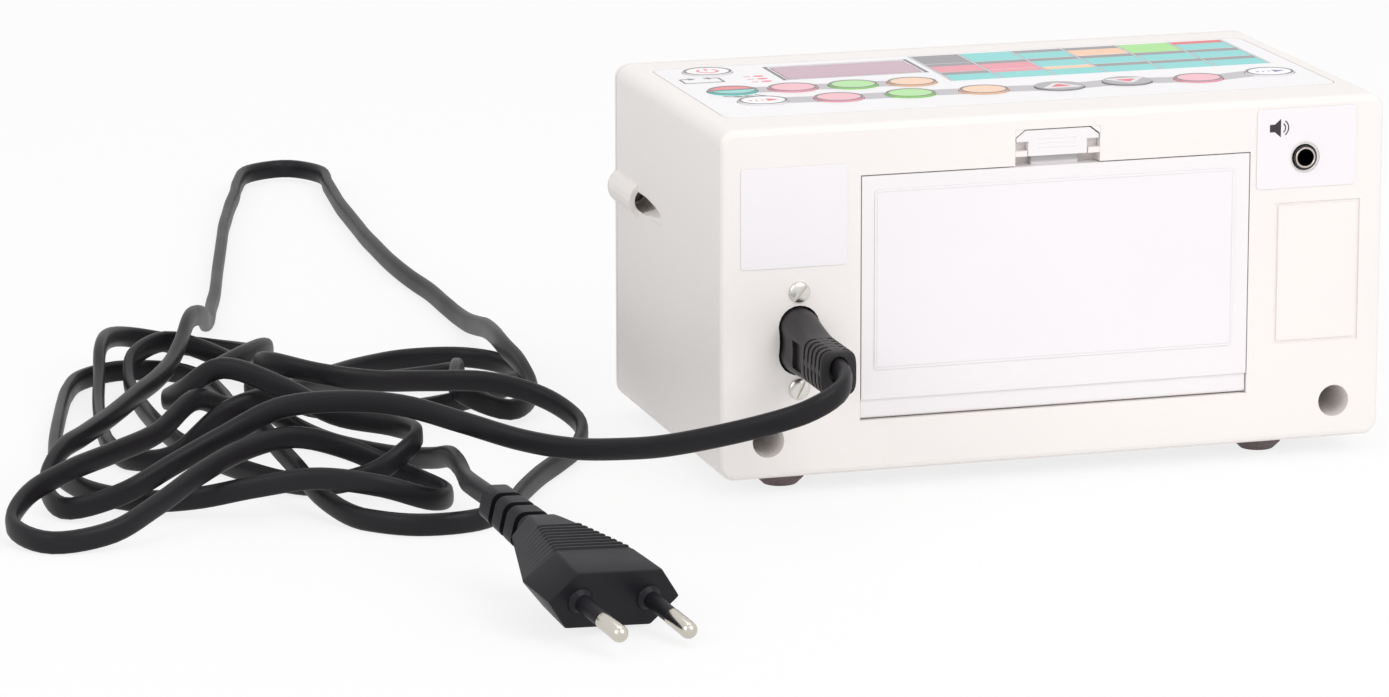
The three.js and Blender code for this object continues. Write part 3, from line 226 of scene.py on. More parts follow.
def dress(names, material, soft=None, angle=32):
    """Gives carried-over nodes their finish and, where asked and broken edges."""
    for name in names:
        node = frame["nodes"][name]
        paint(node, material)
        if soft:
            soften(node, soft, angle)


shell_plastic = surface("shell_plastic", SHELL_TONE, 0.42, mottle=0.012, grain=2200,
                        depth=25, cloud=25)
dress(("rear_housing", "front_shell"), shell_plastic)

# The loudspeaker sits in a ring behind the grille: a plated basket, a ridged paper cone with a
# domed dust cap, and a ferrite ring magnet.
SPEAKER_X, SPEAKER_Z = 0.0, 47.0
CONE_FRONT_Y = 93.9
CAP_RADIUS, CAP_RISE, CAP_WALL = 9.0, 3.2, 0.3
CAP_SEAT, CAP_BACK, CAP_STEPS = 7.9, 8.4, 8  # how far the cap's edge and back lie behind the cone's front
AXIS_GAP = 0.05  # a turned profile ends this far from its axis


def lofts(name, forms, crease=40):
    """A new piece of closed forms, smooth but for edges sharper than crease degrees. Each form is rings
    of points in millimetres, all with the same count."""
    points, faces = [], []
    for rings in forms:
        first, count = len(points), len(rings[0])
        last = first + (len(rings) - 1) * count
        points += [p for ring in rings for p in ring]
        faces += [tuple(range(start, start + count)) for start in (first, last)]
        faces += [(start + i, start + (i + 1) % count, start + count + (i + 1) % count, start + count + i)
                  for start in range(first, last, count) for i in range(count)]
    mesh = bpy.data.meshes.new(name)
    mesh.from_pydata([place(*p) for p in points], [], faces)
    shell = bmesh.new()
    shell.from_mesh(mesh)
    bmesh.ops.recalc_face_normals(shell, faces=shell.faces)
    shell.to_mesh(mesh)
    shell.free()
    mesh.polygons.foreach_set("use_smooth", [True] * len(mesh.polygons))
    mesh.set_sharp_from_angle(angle=radians(crease))
    return add_object(name, mesh)


def skin(name, rings, crease=40):
    return lofts(name, [rings], crease)


def arc(x, y, half_x, half_y, start, end, steps):
    """Points along part of an ellipse, from one angle to another."""
    return [(x + half_x * cos(a), y + half_y * sin(a))
            for a in (start + (end - start) * i / steps for i in range(steps + 1))]


def ellipse(x, y, half_x, half_y, count):
    return arc(x, y, half_x, half_y, 0, 2 * pi, count)[:-1]


def arc_strip(x, y, inner, outer, start, end, steps):
    """A closed strip along part of an ellipse, between two pairs of half axes."""
    return arc(x, y, *outer, start, end, steps) + arc(x, y, *inner, start, end, steps)[::-1]


def turned(name, centre, profile, axis="y", sides=48, crease=40):
    """A turned piece: profile rows are radius and place along the axis through centre."""
    return skin(name, [[(u, along, v) if axis == "y" else (u, v, along)
                        for u, v in ellipse(*centre, radius, radius, sides)] for radius, along in profile], crease)


def fit_out(thing, material, body, slot, *nodes):
    """Gives a new piece its finish, the body it moves with and the nodes it stands for; slot is not used."""
    paint(thing, material)
    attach(thing, body)
    if nodes:
        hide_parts(*nodes)
    return thing


plated_steel = surface("plated_steel", (168, 168, 166), 0.33, mottle=0.06, grain=1600, metal=1.0)
ferrite = surface("ferrite", (66, 65, 68), 0.6, mottle=0.15, grain=700, depth=80)
paper = surface("cone_paper", (62, 57, 53), 0.88, mottle=0.25, cloud=400, grain=1800, depth=80)
paper_tree, paper_nodes = paper.node_tree, paper.node_tree.nodes
cone_rings = add_node(paper_tree, "ShaderNodeTexWave", {"Scale": 90})
cone_rings.wave_type, cone_rings.rings_direction = "RINGS", "Y"
centre_shift = add_node(paper_tree, "ShaderNodeMapping",
                        {"Location": tuple(-c for c in place(SPEAKER_X, 0, SPEAKER_Z))})
ridges = add_node(paper_tree, "ShaderNodeBump", {"Distance": 0.0003})
wire(paper_tree, (paper_nodes["Texture Coordinate"], "Object", centre_shift, "Vector"),
     (centre_shift, "Vector", cone_rings, "Vector"), (cone_rings, "Fac", ridges, "Height"),
     (paper_nodes["Bump"], "Normal", ridges, "Normal"),
     (ridges, "Normal", paper_nodes["Principled BSDF"], "Normal"))
for name, finish in (("speaker_frame", plated_steel), ("speaker_cone", paper), ("speaker_magnet", ferrite)):
    dress((name,), finish, soft=0.0003)
cap_profile = [(AXIS_GAP, CONE_FRONT_Y - CAP_SEAT + CAP_RISE)]
for step in range(1, CAP_STEPS + 1):
    a = pi / 2 * step / CAP_STEPS
    cap_profile.append((CAP_RADIUS * sin(a), CONE_FRONT_Y - CAP_SEAT + CAP_RISE * cos(a)))
cap_profile += [(CAP_RADIUS - CAP_WALL, CONE_FRONT_Y - CAP_BACK), (AXIS_GAP, CONE_FRONT_Y - CAP_BACK)]
fit_out(turned("dust_cap", (SPEAKER_X, SPEAKER_Z), cap_profile), paper, "case", "cone")

# The main board is screwed to four posts behind the battery bay. The power board stands on posts on
# the floor and carries the transformer. Both are green glass-epoxy with black parts on them.
MAIN_SHEET_Y, POWER_SHEET_Z = 22.8, 12.8


def two_finish(base, other, axis, level, soft=0.0001):
    """Gives a finish another tint above a level along one axis of the part, in metres."""
    tree, named = base.node_tree, base.node_tree.nodes
    split = add_node(tree, "ShaderNodeSeparateXYZ")
    above = add_node(tree, "ShaderNodeMapRange", {"From Min": level - soft, "From Max": level + soft})
    mix = add_node(tree, "ShaderNodeMix")
    mix.data_type = "RGBA"
    set_values(mix, {"B": colour(*other)})
    wire(tree, (named["Texture Coordinate"], "Object", split, 0), (split, axis, above, "Value"),
         (above, "Result", mix, "Factor"), (named["Color Ramp"], "Color", mix, "A"),
         (mix, "Result", named["Principled BSDF"], "Base Color"))
    return base


for name, other, axis, level in (("main_board", (30, 30, 32), "Y", place(0, MAIN_SHEET_Y, 0).y),
                                 ("power_board", (70, 68, 62), "Z", POWER_SHEET_Z / 1000)):
    board = surface(name + "_mask", (47, 107, 69), 0.45, mottle=0.2, cloud=300, grain=600)
    dress((name,), two_finish(board, other, axis, level), soft=EDGE_BREAK)
black_moulding = surface("black_moulding", (34, 33, 36), 0.42, mottle=0.1, grain=1500, depth=30)
dress(("display_module",), black_moulding, soft=EDGE_BREAK)

# The keypad film is printed polyester, stuck in a recess of the housing's top. Its print is layers of
# ink: grey bands that link the keys, the coloured table, lamp marks and thin lines.
INK = 0.03
KEY_LONG, KEY_WIDE = 12.5, 11.0
KEY_TOP = 90.85
BAND_HALF, BAND_GAP = 3.7, 0.4
RIM_IN, RIM_OUT, RIM_PARTS = -0.82, -0.1, 10  # from the edge of the pad, in short lengths
KEYS = {  # x, y, tone
    "power_key": (-66, 75.5, (250, 246, 248)), "bank_key": (-67.2, 49.4, (120, 214, 206)),
    "left_arrow_key": (-63.9, 34.4, (252, 248, 250)), "tempo_up_key": (-51.8, 49, (244, 176, 190)),
    "tempo_down_key": (-44.9, 33.4, (244, 176, 190)), "pitch_up_key": (-36.4, 48.5, (166, 226, 140)),
    "pitch_down_key": (-26.5, 33.3, (166, 226, 140)), "tune_up_key": (-21.4, 47.7, (248, 204, 170)),
    "tune_down_key": (-7.7, 32.6, (248, 204, 170)), "up_key": (11.6, 31.6, (160, 157, 160)),
    "down_key": (29.9, 33.1, (160, 157, 160)), "play_key": (48.3, 31.9, (244, 176, 190)),
    "right_arrow_key": (68.2, 34.5, (252, 250, 252)),
}
WINDOW_X, WINDOW_Y = (-49.5, -14.3), (60.6, 77.3)
GREY_INK, DARK_INK, LAMP_INK = (188, 184, 188), (112, 108, 112), (238, 110, 130)
TEAL_INK, RED_INK, PINK_INK = (120, 212, 210), (226, 84, 94), (234, 142, 158)
GREEN_INK, ORANGE_INK, HEAD_INK = (160, 226, 130), (250, 200, 164), (140, 136, 140)
LINK_FROM, LINK_TO, LINK_BOW = (-4.2, -6.1), (-3.4, 6.6), 0.4  # from the middles of the two keys
LINK_PITCH, LINK_END_PITCH, LINK_HALF = 2.7, 2.1, 0.22
LAMP_X, LAMP_ROWS = -55.3, (67.0, 63.3, 59.7)
LAMP_DASH, LAMP_DASH_HALF, LAMP_OVAL = (-3.9, -2.2), 0.25, (1.4, 0.85)
BRACKET_X, BRACKET_Y, BRACKET_HALF = -70.5, 64.8, 0.28
BRACKET_LINES = (((-5, 2.8), (-2.8, 2.8)), ((-5, 2.8), (-5, -2.6)), ((-5, -2.6), (5, -2.6)), ((5, -2.6), (5, 2.8)),
                 ((2.8, 2.8), (5, 2.8)))
BRACKET_TIP = ((2.8, 1.6), (2.8, 4), (0.9, 2.8))


def slab(outline, near, far, flat=False):
    """A slab's two outlines: x, z points at two depths, or flat ones, x, y points at two heights."""
    return [[(u, v, at) if flat else (u, at, v) for u, v in outline] for at in (near, far)]


def ink(name, tint, shapes, level, body="case", slot="overlay"):
    """One colour of print: flat closed shapes of x, y points, level millimetres up, a thin film thick."""
    film = lofts(name, [slab(shape, level, level + INK, flat=True) for shape in shapes], 30)
    return fit_out(film, surface(name + "_ink", tint, 0.35, mottle=0.02, spread=0.04, grain=2500,
                                 depth=10), body, slot)


def key_halves(grow):
    """Half the length and width of a key's outline, grown by some millimetres."""
    return KEY_LONG / 2 + grow, KEY_WIDE / 2 + grow


def key_ring(x, y, inner, outer, start, turn, parts, steps):
    """A ring round a key's middle as short closed lengths."""
    return [arc_strip(x, y, inner, outer, start + turn * part, start + turn * (part + 1), steps)
            for part in range(parts)]


def box_shape(x, y):
    return [(x[0], y[0]), (x[1], y[0]), (x[1], y[1]), (x[0], y[1])]


def bar_between(a, b, half):
    a, b = Vector(a), Vector(b)
    along = (b - a).normalized()
    side = Vector((-along.y, along.x)) * half
    return [tuple(a + side), tuple(a - side), tuple(b - side), tuple(b + side)]


def band_between(left_key, right_key):
    """A band from one key's rim to the next, hollowed at its ends to follow both."""
    (ax, ay, _), (bx, by, _) = KEYS[left_key], KEYS[right_key]
    turn = asin(BAND_HALF / (KEY_WIDE / 2 + BAND_GAP))
    return (arc(ax, ay, *key_halves(BAND_GAP), -turn, turn, 8)
            + arc(bx, by, *key_halves(BAND_GAP), pi - turn, pi + turn, 8))


keypad_film = surface("keypad_film", (244, 242, 244), 0.33, mottle=0.012, spread=0.05, grain=1400,
                      depth=15, cloud=30)
dress(("membrane_overlay",), keypad_film)
far_row = ("bank_key", "tempo_up_key", "pitch_up_key", "tune_up_key")
near_row = ("left_arrow_key", "tempo_down_key", "pitch_down_key", "tune_down_key", "up_key", "down_key", "play_key",
            "right_arrow_key")
ink("linking_bands", GREY_INK, [band_between(a, b) for row in (far_row, near_row) for a, b in zip(row, row[1:])],
    CASE_TOP)
(arrow_x, arrow_y, _), (bank_x, bank_y, _) = KEYS["left_arrow_key"], KEYS["bank_key"]
ink("link_lines", DARK_INK, [
    bar_between((bank_x + LINK_FROM[0] + LINK_PITCH * i, bank_y + LINK_FROM[1] - LINK_BOW * min(i, 3 - i)),
                (arrow_x + LINK_TO[0] + LINK_END_PITCH * i, arrow_y + LINK_TO[1]), LINK_HALF)
    for i in range(4)], CASE_TOP + INK)
ink("lamp_marks", LAMP_INK, [
    box_shape([LAMP_X + end for end in LAMP_DASH], (y - LAMP_DASH_HALF, y + LAMP_DASH_HALF)) for y in LAMP_ROWS]
    + [ellipse(LAMP_X, y, *LAMP_OVAL, 20) for y in LAMP_ROWS], CASE_TOP)
ink("bracket_mark", DARK_INK, [
    bar_between(*((BRACKET_X + x, BRACKET_Y + y) for x, y in line), BRACKET_HALF) for line in BRACKET_LINES]
    + [[(BRACKET_X + side * x, BRACKET_Y + y) for x, y in BRACKET_TIP] for side in (-1, 1)], CASE_TOP)

TABLE_X = (-11.0, 1.9, 16.0, 29.5, 44.4, 58.7, 73.0)
TABLE_Y = (81.5, 69.9, 58.2, 46.5)
HEADER_SHARE = 0.32
CELL_GAP_X, CELL_GAP_Y = 0.35, 0.25
RULE_NEAR, RULE_FAR = 0.22, 0.36  # the two thin rules stand this far from the middle of each gap
CELLS = {  # column, row from the far edge: header and body colour, where they aren't grey over teal
    (0, 0): (HEAD_INK, HEAD_INK), (0, 1): (HEAD_INK, PINK_INK), (1, 0): (TEAL_INK, TEAL_INK),
    (1, 1): (HEAD_INK, PINK_INK), (1, 2): (PINK_INK, TEAL_INK), (2, 2): (ORANGE_INK, TEAL_INK),
    (3, 0): (HEAD_INK, ORANGE_INK), (4, 0): (GREEN_INK, GREEN_INK), (5, 0): (RED_INK, TEAL_INK),
}
by_tint = {}
for column, row in ((column, row) for column in range(len(TABLE_X) - 1) for row in range(len(TABLE_Y) - 1)):
    header, body_tint = CELLS.get((column, row), (HEAD_INK, TEAL_INK))
    low, high = TABLE_Y[row + 1], TABLE_Y[row]
    cut_y = high - (high - low) * HEADER_SHARE
    span = (TABLE_X[column] + CELL_GAP_X, TABLE_X[column + 1] - CELL_GAP_X)
    by_tint.setdefault(header, []).append(box_shape(span, (cut_y, high - CELL_GAP_Y)))
    by_tint.setdefault(body_tint, []).append(box_shape(span, (low + CELL_GAP_Y, cut_y)))
for number, (tint, shapes) in enumerate(by_tint.items(), 1):
    ink(f"table_cells_{number}", tint, shapes, CASE_TOP)
ink("table_lines", (150, 160, 164), [
    box_shape((x + near, x + far), (TABLE_Y[-1], TABLE_Y[0]))
    for near, far in ((-RULE_FAR, -RULE_NEAR), (RULE_NEAR, RULE_FAR)) for x in TABLE_X], CASE_TOP + INK)

# The display window is tinted clear film in a cut of the keypad, with a printed frame at its ends.
END_HALF, END_OUT = 0.5, 0.9
SIDE_HALF, SIDE_OUT, SIDE_PAST = 0.18, 0.7, 1.2
window_film = surface("window_tint", (180, 126, 150), 0.16, mottle=0.05, spread=0.04, grain=600,
                      depth=10, coat=0.2)
dress(("display_window",), window_film)
ink("window_end_lines", DARK_INK, [
    box_shape((x - END_HALF, x + END_HALF), (WINDOW_Y[0] - END_OUT, WINDOW_Y[1] + END_OUT))
    for x in (WINDOW_X[0] - END_OUT, WINDOW_X[1] + END_OUT)], CASE_TOP)
ink("window_long_lines", (170, 166, 170), [
    box_shape((WINDOW_X[0] - SIDE_PAST, WINDOW_X[1] + SIDE_PAST), (y - SIDE_HALF, y + SIDE_HALF))
    for y in (WINDOW_Y[0] - SIDE_OUT, WINDOW_Y[1] + SIDE_OUT)], CASE_TOP)

# Each key is a raised pad of the printed film over a dome. Print on its face rides with the pad:
# a grey rim, and an arrow, a triangle, a ring or two half colours where the photograph shows them.
POWER_INK, LEFT_INK, RIGHT_INK = (240, 110, 128), (226, 84, 100), (120, 116, 176)
POWER_HALVES = (KEY_LONG / 2 - 3.4, KEY_WIDE / 2 - 2.9)
POWER_INNER_SHARE, POWER_FROM, POWER_TURN, POWER_PARTS = 0.78, -230, 14, 20
POWER_STROKE = box_shape((-0.3, 0.3), (0.4, 3.0))
BANK_LINE = box_shape((-5.3, 5.3), (-0.25, 0.25))
ARROW = ((0.9, -1.5), (4.0, 0), (0.9, 1.5))
DOTS, DOT_RADIUS = (-3.2, -1.7, -0.2), 0.4
TRIANGLE_SHARES = ((-1, -0.48), (-0.82, -0.62), (0.82, -0.62), (1, -0.48), (0.14, 0.6), (-0.14, 0.6))
slots = {row["node"]: row["material_slot"] for row in frame["record"]["subparts"]}


def mark(key, word, tint, shapes, layer=0):
    """Print on a key, riding with it."""
    return ink(f"{key}_{word}", tint, shapes, KEY_TOP + layer * INK, key.replace("_key", "_button"), slots[key])


for key, (x, y, tone) in KEYS.items():
    key_film = surface("bank_key_halves" if key == "bank_key" else key + "_film", tone, 0.32, mottle=0.03,
                       spread=0.05, grain=1400, depth=15, coat=0.15)
    if key == "bank_key":
        two_finish(key_film, (228, 104, 112), "Y", place(0, y, 0).y)
    dress((key,), key_film, soft=0.0002)
    if key not in ("up_key", "down_key"):
        mark(key, "rim", DARK_INK,
             key_ring(x, y, key_halves(RIM_IN), key_halves(RIM_OUT), 0, 2 * pi / RIM_PARTS, RIM_PARTS, 6))
    if key == "power_key":
        inner = [half * POWER_INNER_SHARE for half in POWER_HALVES]
        mark(key, "ring", POWER_INK,
             key_ring(x, y, inner, POWER_HALVES, radians(POWER_FROM), radians(POWER_TURN), POWER_PARTS, 3))
        mark(key, "stroke", POWER_INK, [[(x + u, y + v) for u, v in POWER_STROKE]], 1)
    elif key == "bank_key":
        mark(key, "middle_line", DARK_INK, [[(x + u, y + v) for u, v in BANK_LINE]], 1)
    elif key in ("left_arrow_key", "right_arrow_key"):
        tint = LEFT_INK if key == "left_arrow_key" else RIGHT_INK
        mark(key, "arrow", tint, [[(x + u, y + v) for u, v in ARROW]])
        mark(key, "dots", tint, [ellipse(x + dot, y, DOT_RADIUS, DOT_RADIUS, 12) for dot in DOTS])
    elif key in ("up_key", "down_key"):
        way = 1 if key == "up_key" else -1
        for word, half, tint, layer in (("outer", 5.0, (232, 228, 231), 0), ("inner", 2.4, (232, 84, 100), 1)):
            mark(key, word, tint, [[(x + half * u, y + way * half * v) for u, v in TRIANGLE_SHARES]], layer)

# The mains inlet is a black figure-eight socket behind the back panel, with two plated pins, held by
# two slotted pan-head screws whose slots stand at odd angles.
INLET_X, INLET_Z, INLET_SCREW = -65.3, 38.4, 11.95
SCREW_RADIUS, SCREW_HIGH, SLOT_WIDE, SLOT_DEEP, SHAFT_RADIUS = 2.6, 0.9, 0.95, 0.6, 1.3
HEAD_SHARES = ((0.55, 1), (0.82, 0.82), (0.96, 0.5), (1, 0.15), (1, 0))  # of the radius and the height


def cut_out(thing, cutter):
    """Cuts a slot or recess in a new piece with another one, which is then thrown away."""
    tool = thing.modifiers.new("cut", "BOOLEAN")
    tool.object, tool.operation, tool.solver = cutter, "DIFFERENCE", "EXACT"
    depsgraph = bpy.context.evaluated_depsgraph_get()
    mesh = bpy.data.meshes.new_from_object(thing.evaluated_get(depsgraph))
    thing.modifiers.clear()
    thing.data = mesh
    mesh.set_sharp_from_angle(angle=radians(35))
    bpy.data.objects.remove(cutter)
    return thing


def slotted_head(name, x, z, seat_y, angle, radius=SCREW_RADIUS, high=SCREW_HIGH, reach=2.0):
    """A pan head with a straight slot, and the start of its shaft behind it."""
    profile = [(AXIS_GAP, seat_y - high), *((radius * r, seat_y - high * h) for r, h in HEAD_SHARES),
               (SHAFT_RADIUS + 0.05, seat_y), (SHAFT_RADIUS, seat_y + reach), (AXIS_GAP, seat_y + reach)]
    head = turned(name, (x, z), profile, sides=40, crease=50)
    along = Vector((cos(radians(angle)), sin(radians(angle))))
    aside = Vector((-along.y, along.x)) * SLOT_WIDE / 2
    ring = [along * end * radius * 1.3 + aside * edge for end, edge in ((1, 1), (-1, 1), (-1, -1), (1, -1))]
    cutter = skin(name + "_tool", [[(x + p.x, y, z + p.y) for p in ring]
                                   for y in (seat_y - high - 1, seat_y - high + SLOT_DEEP)])
    return cut_out(head, cutter)


nickel = surface("pin_nickel", (205, 200, 190), 0.2, mottle=0.04, spread=0.05, grain=2500,
                 depth=4, metal=1.0)
screw_plate = surface("screw_plate", (222, 219, 213), 0.32, mottle=0.1, spread=0.1, cloud=500,
                      grain=1800, depth=30, metal=1.0)
dress(("mains_inlet",), black_moulding, soft=EDGE_BREAK)
dress(("inlet_pin_upper", "inlet_pin_lower"), nickel, soft=0.0004)
for word, side, angle in (("upper", 1, 50), ("lower", -1, 63)):
    head = slotted_head(f"inlet_screw_{word}_head", INLET_X, INLET_Z + side * INLET_SCREW, -0.05, angle, reach=9.0)
    fit_out(head, screw_plate, "case", "nickel", f"inlet_screw_{word}")

# The line jack stands in a hole of its label: a black moulded body with a thin bright plated
# ring round the bore, inside the body's dark edge.
JACK_X, JACK_Z = 64.0, 75.8
JACK_RING_ROWS = ((2.6, -0.5), (2.6, -0.84), (2.5, -0.95), (2.28, -0.95), (2.15, -0.84), (2.15, -0.5))
dress(("aux_jack",), black_moulding, soft=0.0003)
jack_ring = turned("jack_ring", (JACK_X, JACK_Z), JACK_RING_ROWS)
fit_out(jack_ring, surface("jack_plate", (212, 202, 196), 0.28, mottle=0.1, metal=1.0), "case", "nickel")

# Three bare gloss labels are stuck on the back. Only the jack's label carries a mark: a plain
# loudspeaker with two sound arcs. The door's label has a thin pale border.
LABEL_FACE = -0.25
DOOR_LABEL_X, DOOR_LABEL_Z = (-46.4, 45.8), (29.9, 74.2)
BORDER_INSET, BORDER_LINE = 0.5, 0.16
ICON_X, ICON_Z = 56.0, 83.4
ARCS, ARC_REACH = ((1.15, 1.45), (1.95, 2.25)), radians(55)
label_film = surface("label_film", (242, 238, 241), 0.25, mottle=0.01, spread=0.04, grain=900,
                     depth=10, cloud=30)
dress(("door_label", "side_label", "jack_label"), label_film)


def back_ink(name, tint, shapes, body="case"):
    """Print on the back: flat closed shapes of x, z points just proud of the label."""
    film = lofts(name, [slab(shape, LABEL_FACE, LABEL_FACE - INK) for shape in shapes], 30)
    return fit_out(film, surface(name + "_ink", tint, 0.35, mottle=0.05, grain=2500, depth=10),
                   body, "sticker")


back_ink("loudspeaker_mark", (48, 44, 48), [
    box_shape((ICON_X - 1.3, ICON_X), (ICON_Z - 0.95, ICON_Z + 0.95)),
    [(ICON_X, ICON_Z - 0.95), (ICON_X + 1.6, ICON_Z - 2.3), (ICON_X + 1.6, ICON_Z + 2.3), (ICON_X, ICON_Z + 0.95)],
    *(arc_strip(ICON_X + 1.5, ICON_Z, (inner, inner), (outer, outer), -ARC_REACH, ARC_REACH, 8)
      for inner, outer in ARCS)])
x0, x1 = DOOR_LABEL_X[0] + BORDER_INSET, DOOR_LABEL_X[1] - BORDER_INSET
z0, z1 = DOOR_LABEL_Z[0] + BORDER_INSET, DOOR_LABEL_Z[1] - BORDER_INSET
back_ink("door_label_border", (226, 223, 224), [
    box_shape((x0, x1), (z0, z0 + BORDER_LINE)), box_shape((x0, x1), (z1 - BORDER_LINE, z1)),
    box_shape((x0, x0 + BORDER_LINE), (z0 + BORDER_LINE, z1 - BORDER_LINE)),
    box_shape((x1 - BORDER_LINE, x1), (z0 + BORDER_LINE, z1 - BORDER_LINE))], "door")

# Four case screws: two at the bottom of deep tunnels, two in the lugs on the sides.
TUNNEL_X, TUNNEL_Z, TUNNEL_SEAT = 73.0, 13.9, 71.95
LUG_X, LUG_Z, LUG_SEAT = 82.6, 59.5, 83.95
for side, word in SIDES:
    head = slotted_head(f"case_screw_{word}_head", side * TUNNEL_X, TUNNEL_Z, TUNNEL_SEAT, 20 + 30 * side,
                        radius=3.2, high=2.6, reach=18.0)
    fit_out(head, plated_steel, "case", "steel", f"case_screw_{word}")
    head = slotted_head(f"lug_screw_{word}_head", side * LUG_X, LUG_Z, LUG_SEAT, 70 + 25 * side, reach=10.0)
    fit_out(head, plated_steel, "case", "steel", f"lug_screw_{word}")

# Behind each lug the screw channel runs out of the side wall as a hollow trough that fades into it.
TROUGH_Y, TROUGH_DEEP, WALL_FACE = (52.05, 69.0), 5.6, 84.97
CHANNEL_RADIUS, MOUTH_HALF, MOUTH_POWER = 3.36, 2.5, 0.45
TROUGH_STEPS, TROUGH_ROWS = 14, 26
for side, word in SIDES:
    rings = []
    for step in range(TROUGH_STEPS + 1):
        share = step / TROUGH_STEPS
        y = TROUGH_Y[0] + (TROUGH_Y[1] - TROUGH_Y[0]) * share
        half = max(0.05, MOUTH_HALF * share ** MOUTH_POWER)
        heights = [-CHANNEL_RADIUS + 2 * CHANNEL_RADIUS * i / TROUGH_ROWS for i in range(TROUGH_ROWS + 1)]
        ring = []
        for z in heights:
            edge = sqrt(max(0.0, CHANNEL_RADIUS ** 2 - z * z))
            floor_x = WALL_FACE - TROUGH_DEEP * share * max(0.0, 1 - (z / half) ** 2)
            ring.append((side * max(min(LUG_X + edge, floor_x), LUG_X - edge + 0.02), y, LUG_Z + z))
        for z in heights[-2:0:-1]:
            ring.append((side * (LUG_X - sqrt(CHANNEL_RADIUS ** 2 - z * z)), y, LUG_Z + z))
        rings.append(ring)
    fit_out(skin(f"lug_trough_{word}", rings, crease=50), shell_plastic, "case", "shell")

# Four dark brown rubber feet are pressed onto the bottom, each with a wide bevel that meets the table.
foot_rubber = surface("foot_rubber", (126, 110, 112), 0.62, mottle=0.12, grain=700, depth=80)
dress(("foot_rear_left", "foot_rear_right", "foot_front_left", "foot_front_right"), foot_rubber,
      soft=0.0005, angle=20)

# Six AA cells stand in the bay, each turned over against the next. Plain blue sleeves leave the
# plated ends bare; the raised nub is the positive end.
CELL_RADIUS, CELL_PITCH, CELL_Y = 7.1, 15.6, 10.15
BAY_LOW, BAY_HIGH = 19.1, 76.2
CELL_LENGTH, NUB, NUB_RADIUS = 50.5, 1.3, 2.7
CONTACT_PLATE, END_GAP = 0.5, 0.3
SLEEVE_ROWS = ((CELL_RADIUS - 1.6, NUB + 0.25), (CELL_RADIUS - 0.5, NUB + 0.1), (CELL_RADIUS, NUB + 0.7),
               (CELL_RADIUS, CELL_LENGTH - 0.8), (CELL_RADIUS - 0.4, CELL_LENGTH - 0.15),
               (CELL_RADIUS - 1.4, CELL_LENGTH - 0.2))
NUB_ROWS = ((AXIS_GAP, 0), (NUB_RADIUS - 0.4, 0), (NUB_RADIUS, 0.4), (NUB_RADIUS, NUB + 0.1),
            (CELL_RADIUS - 1.3, NUB + 0.2), (CELL_RADIUS - 1.3, NUB + 1.2), (AXIS_GAP, NUB + 1.2))
BASE_ROWS = ((AXIS_GAP, CELL_LENGTH - 1.2), (CELL_RADIUS - 1.2, CELL_LENGTH - 1.2),
             (CELL_RADIUS - 1.2, CELL_LENGTH - 0.1), (AXIS_GAP, CELL_LENGTH))
sleeve_film = surface("cell_sleeve", (53, 80, 122), 0.28, mottle=0.06, grain=1200, coat=0.3)
for number in range(6):
    up = number % 2 == 0
    x = (number - 2.5) * CELL_PITCH
    top = BAY_HIGH - CONTACT_PLATE - 2 * END_GAP if up else BAY_LOW + CONTACT_PLATE + 2 * END_GAP
    way = -1 if up else 1
    for word, rows, finish, crease, slot, nodes in (
            ("sleeve", SLEEVE_ROWS, sleeve_film, 40, "cell", [f"battery_cell_{number + 1}"]),
            ("nub", NUB_ROWS, nickel, 60, "nickel", []), ("base", BASE_ROWS, nickel, 60, "nickel", [])):
        fit_out(turned(f"cell_{number + 1}_{word}", (x, CELL_Y), [(r, top + way * a) for r, a in rows], "z",
                       crease=crease), finish, "case", slot, *nodes)

# Contact plates are stamped from plated spring sheet; a tapering coil of wire stands on each where a
# flat cell end presses.
SPRING_LONG, WIRE = 3.7, 0.35
SPRING_WIDE, SPRING_TAPER, SPRING_TURNS, SPRING_STEPS = 4.6, 2.2, 4.2, 110
PLATE_CORNER = 1.2


def even_steps(line, step):
    along = np.concatenate([[0], np.cumsum(np.linalg.norm(np.diff(line, axis=0), axis=1))])
    at = np.linspace(0, along[-1], ceil(along[-1] / step) + 1)
    return np.stack([np.interp(at, along, line[:, k]) for k in range(3)], axis=1)


def sweep(name, line, section, crease=40):
    """A piece along a line that is never upright: section points lie aside from the line and above it."""
    rings = []
    for point, way in zip(line, np.gradient(np.array(line, float), axis=0)):
        way = Vector(way).normalized()
        upright = (Vector((0, 0, 1)) - way * way.z).normalized()
        aside = way.cross(upright)
        rings.append([Vector(point) + aside * u + upright * v for u, v in section])
    return skin(name, rings, crease)


def rounded_ring(width, height, corner, steps=5):
    """Points of a rounded rectangle about the middle, in order round it."""
    return [(sx * (width / 2 - corner) + corner * cos(a), sy * (height / 2 - corner) + corner * sin(a))
            for quarter, (sx, sy) in enumerate(((1, 1), (-1, 1), (-1, -1), (1, -1)))
            for a in (pi / 2 * (quarter + i / steps) for i in range(steps + 1))]


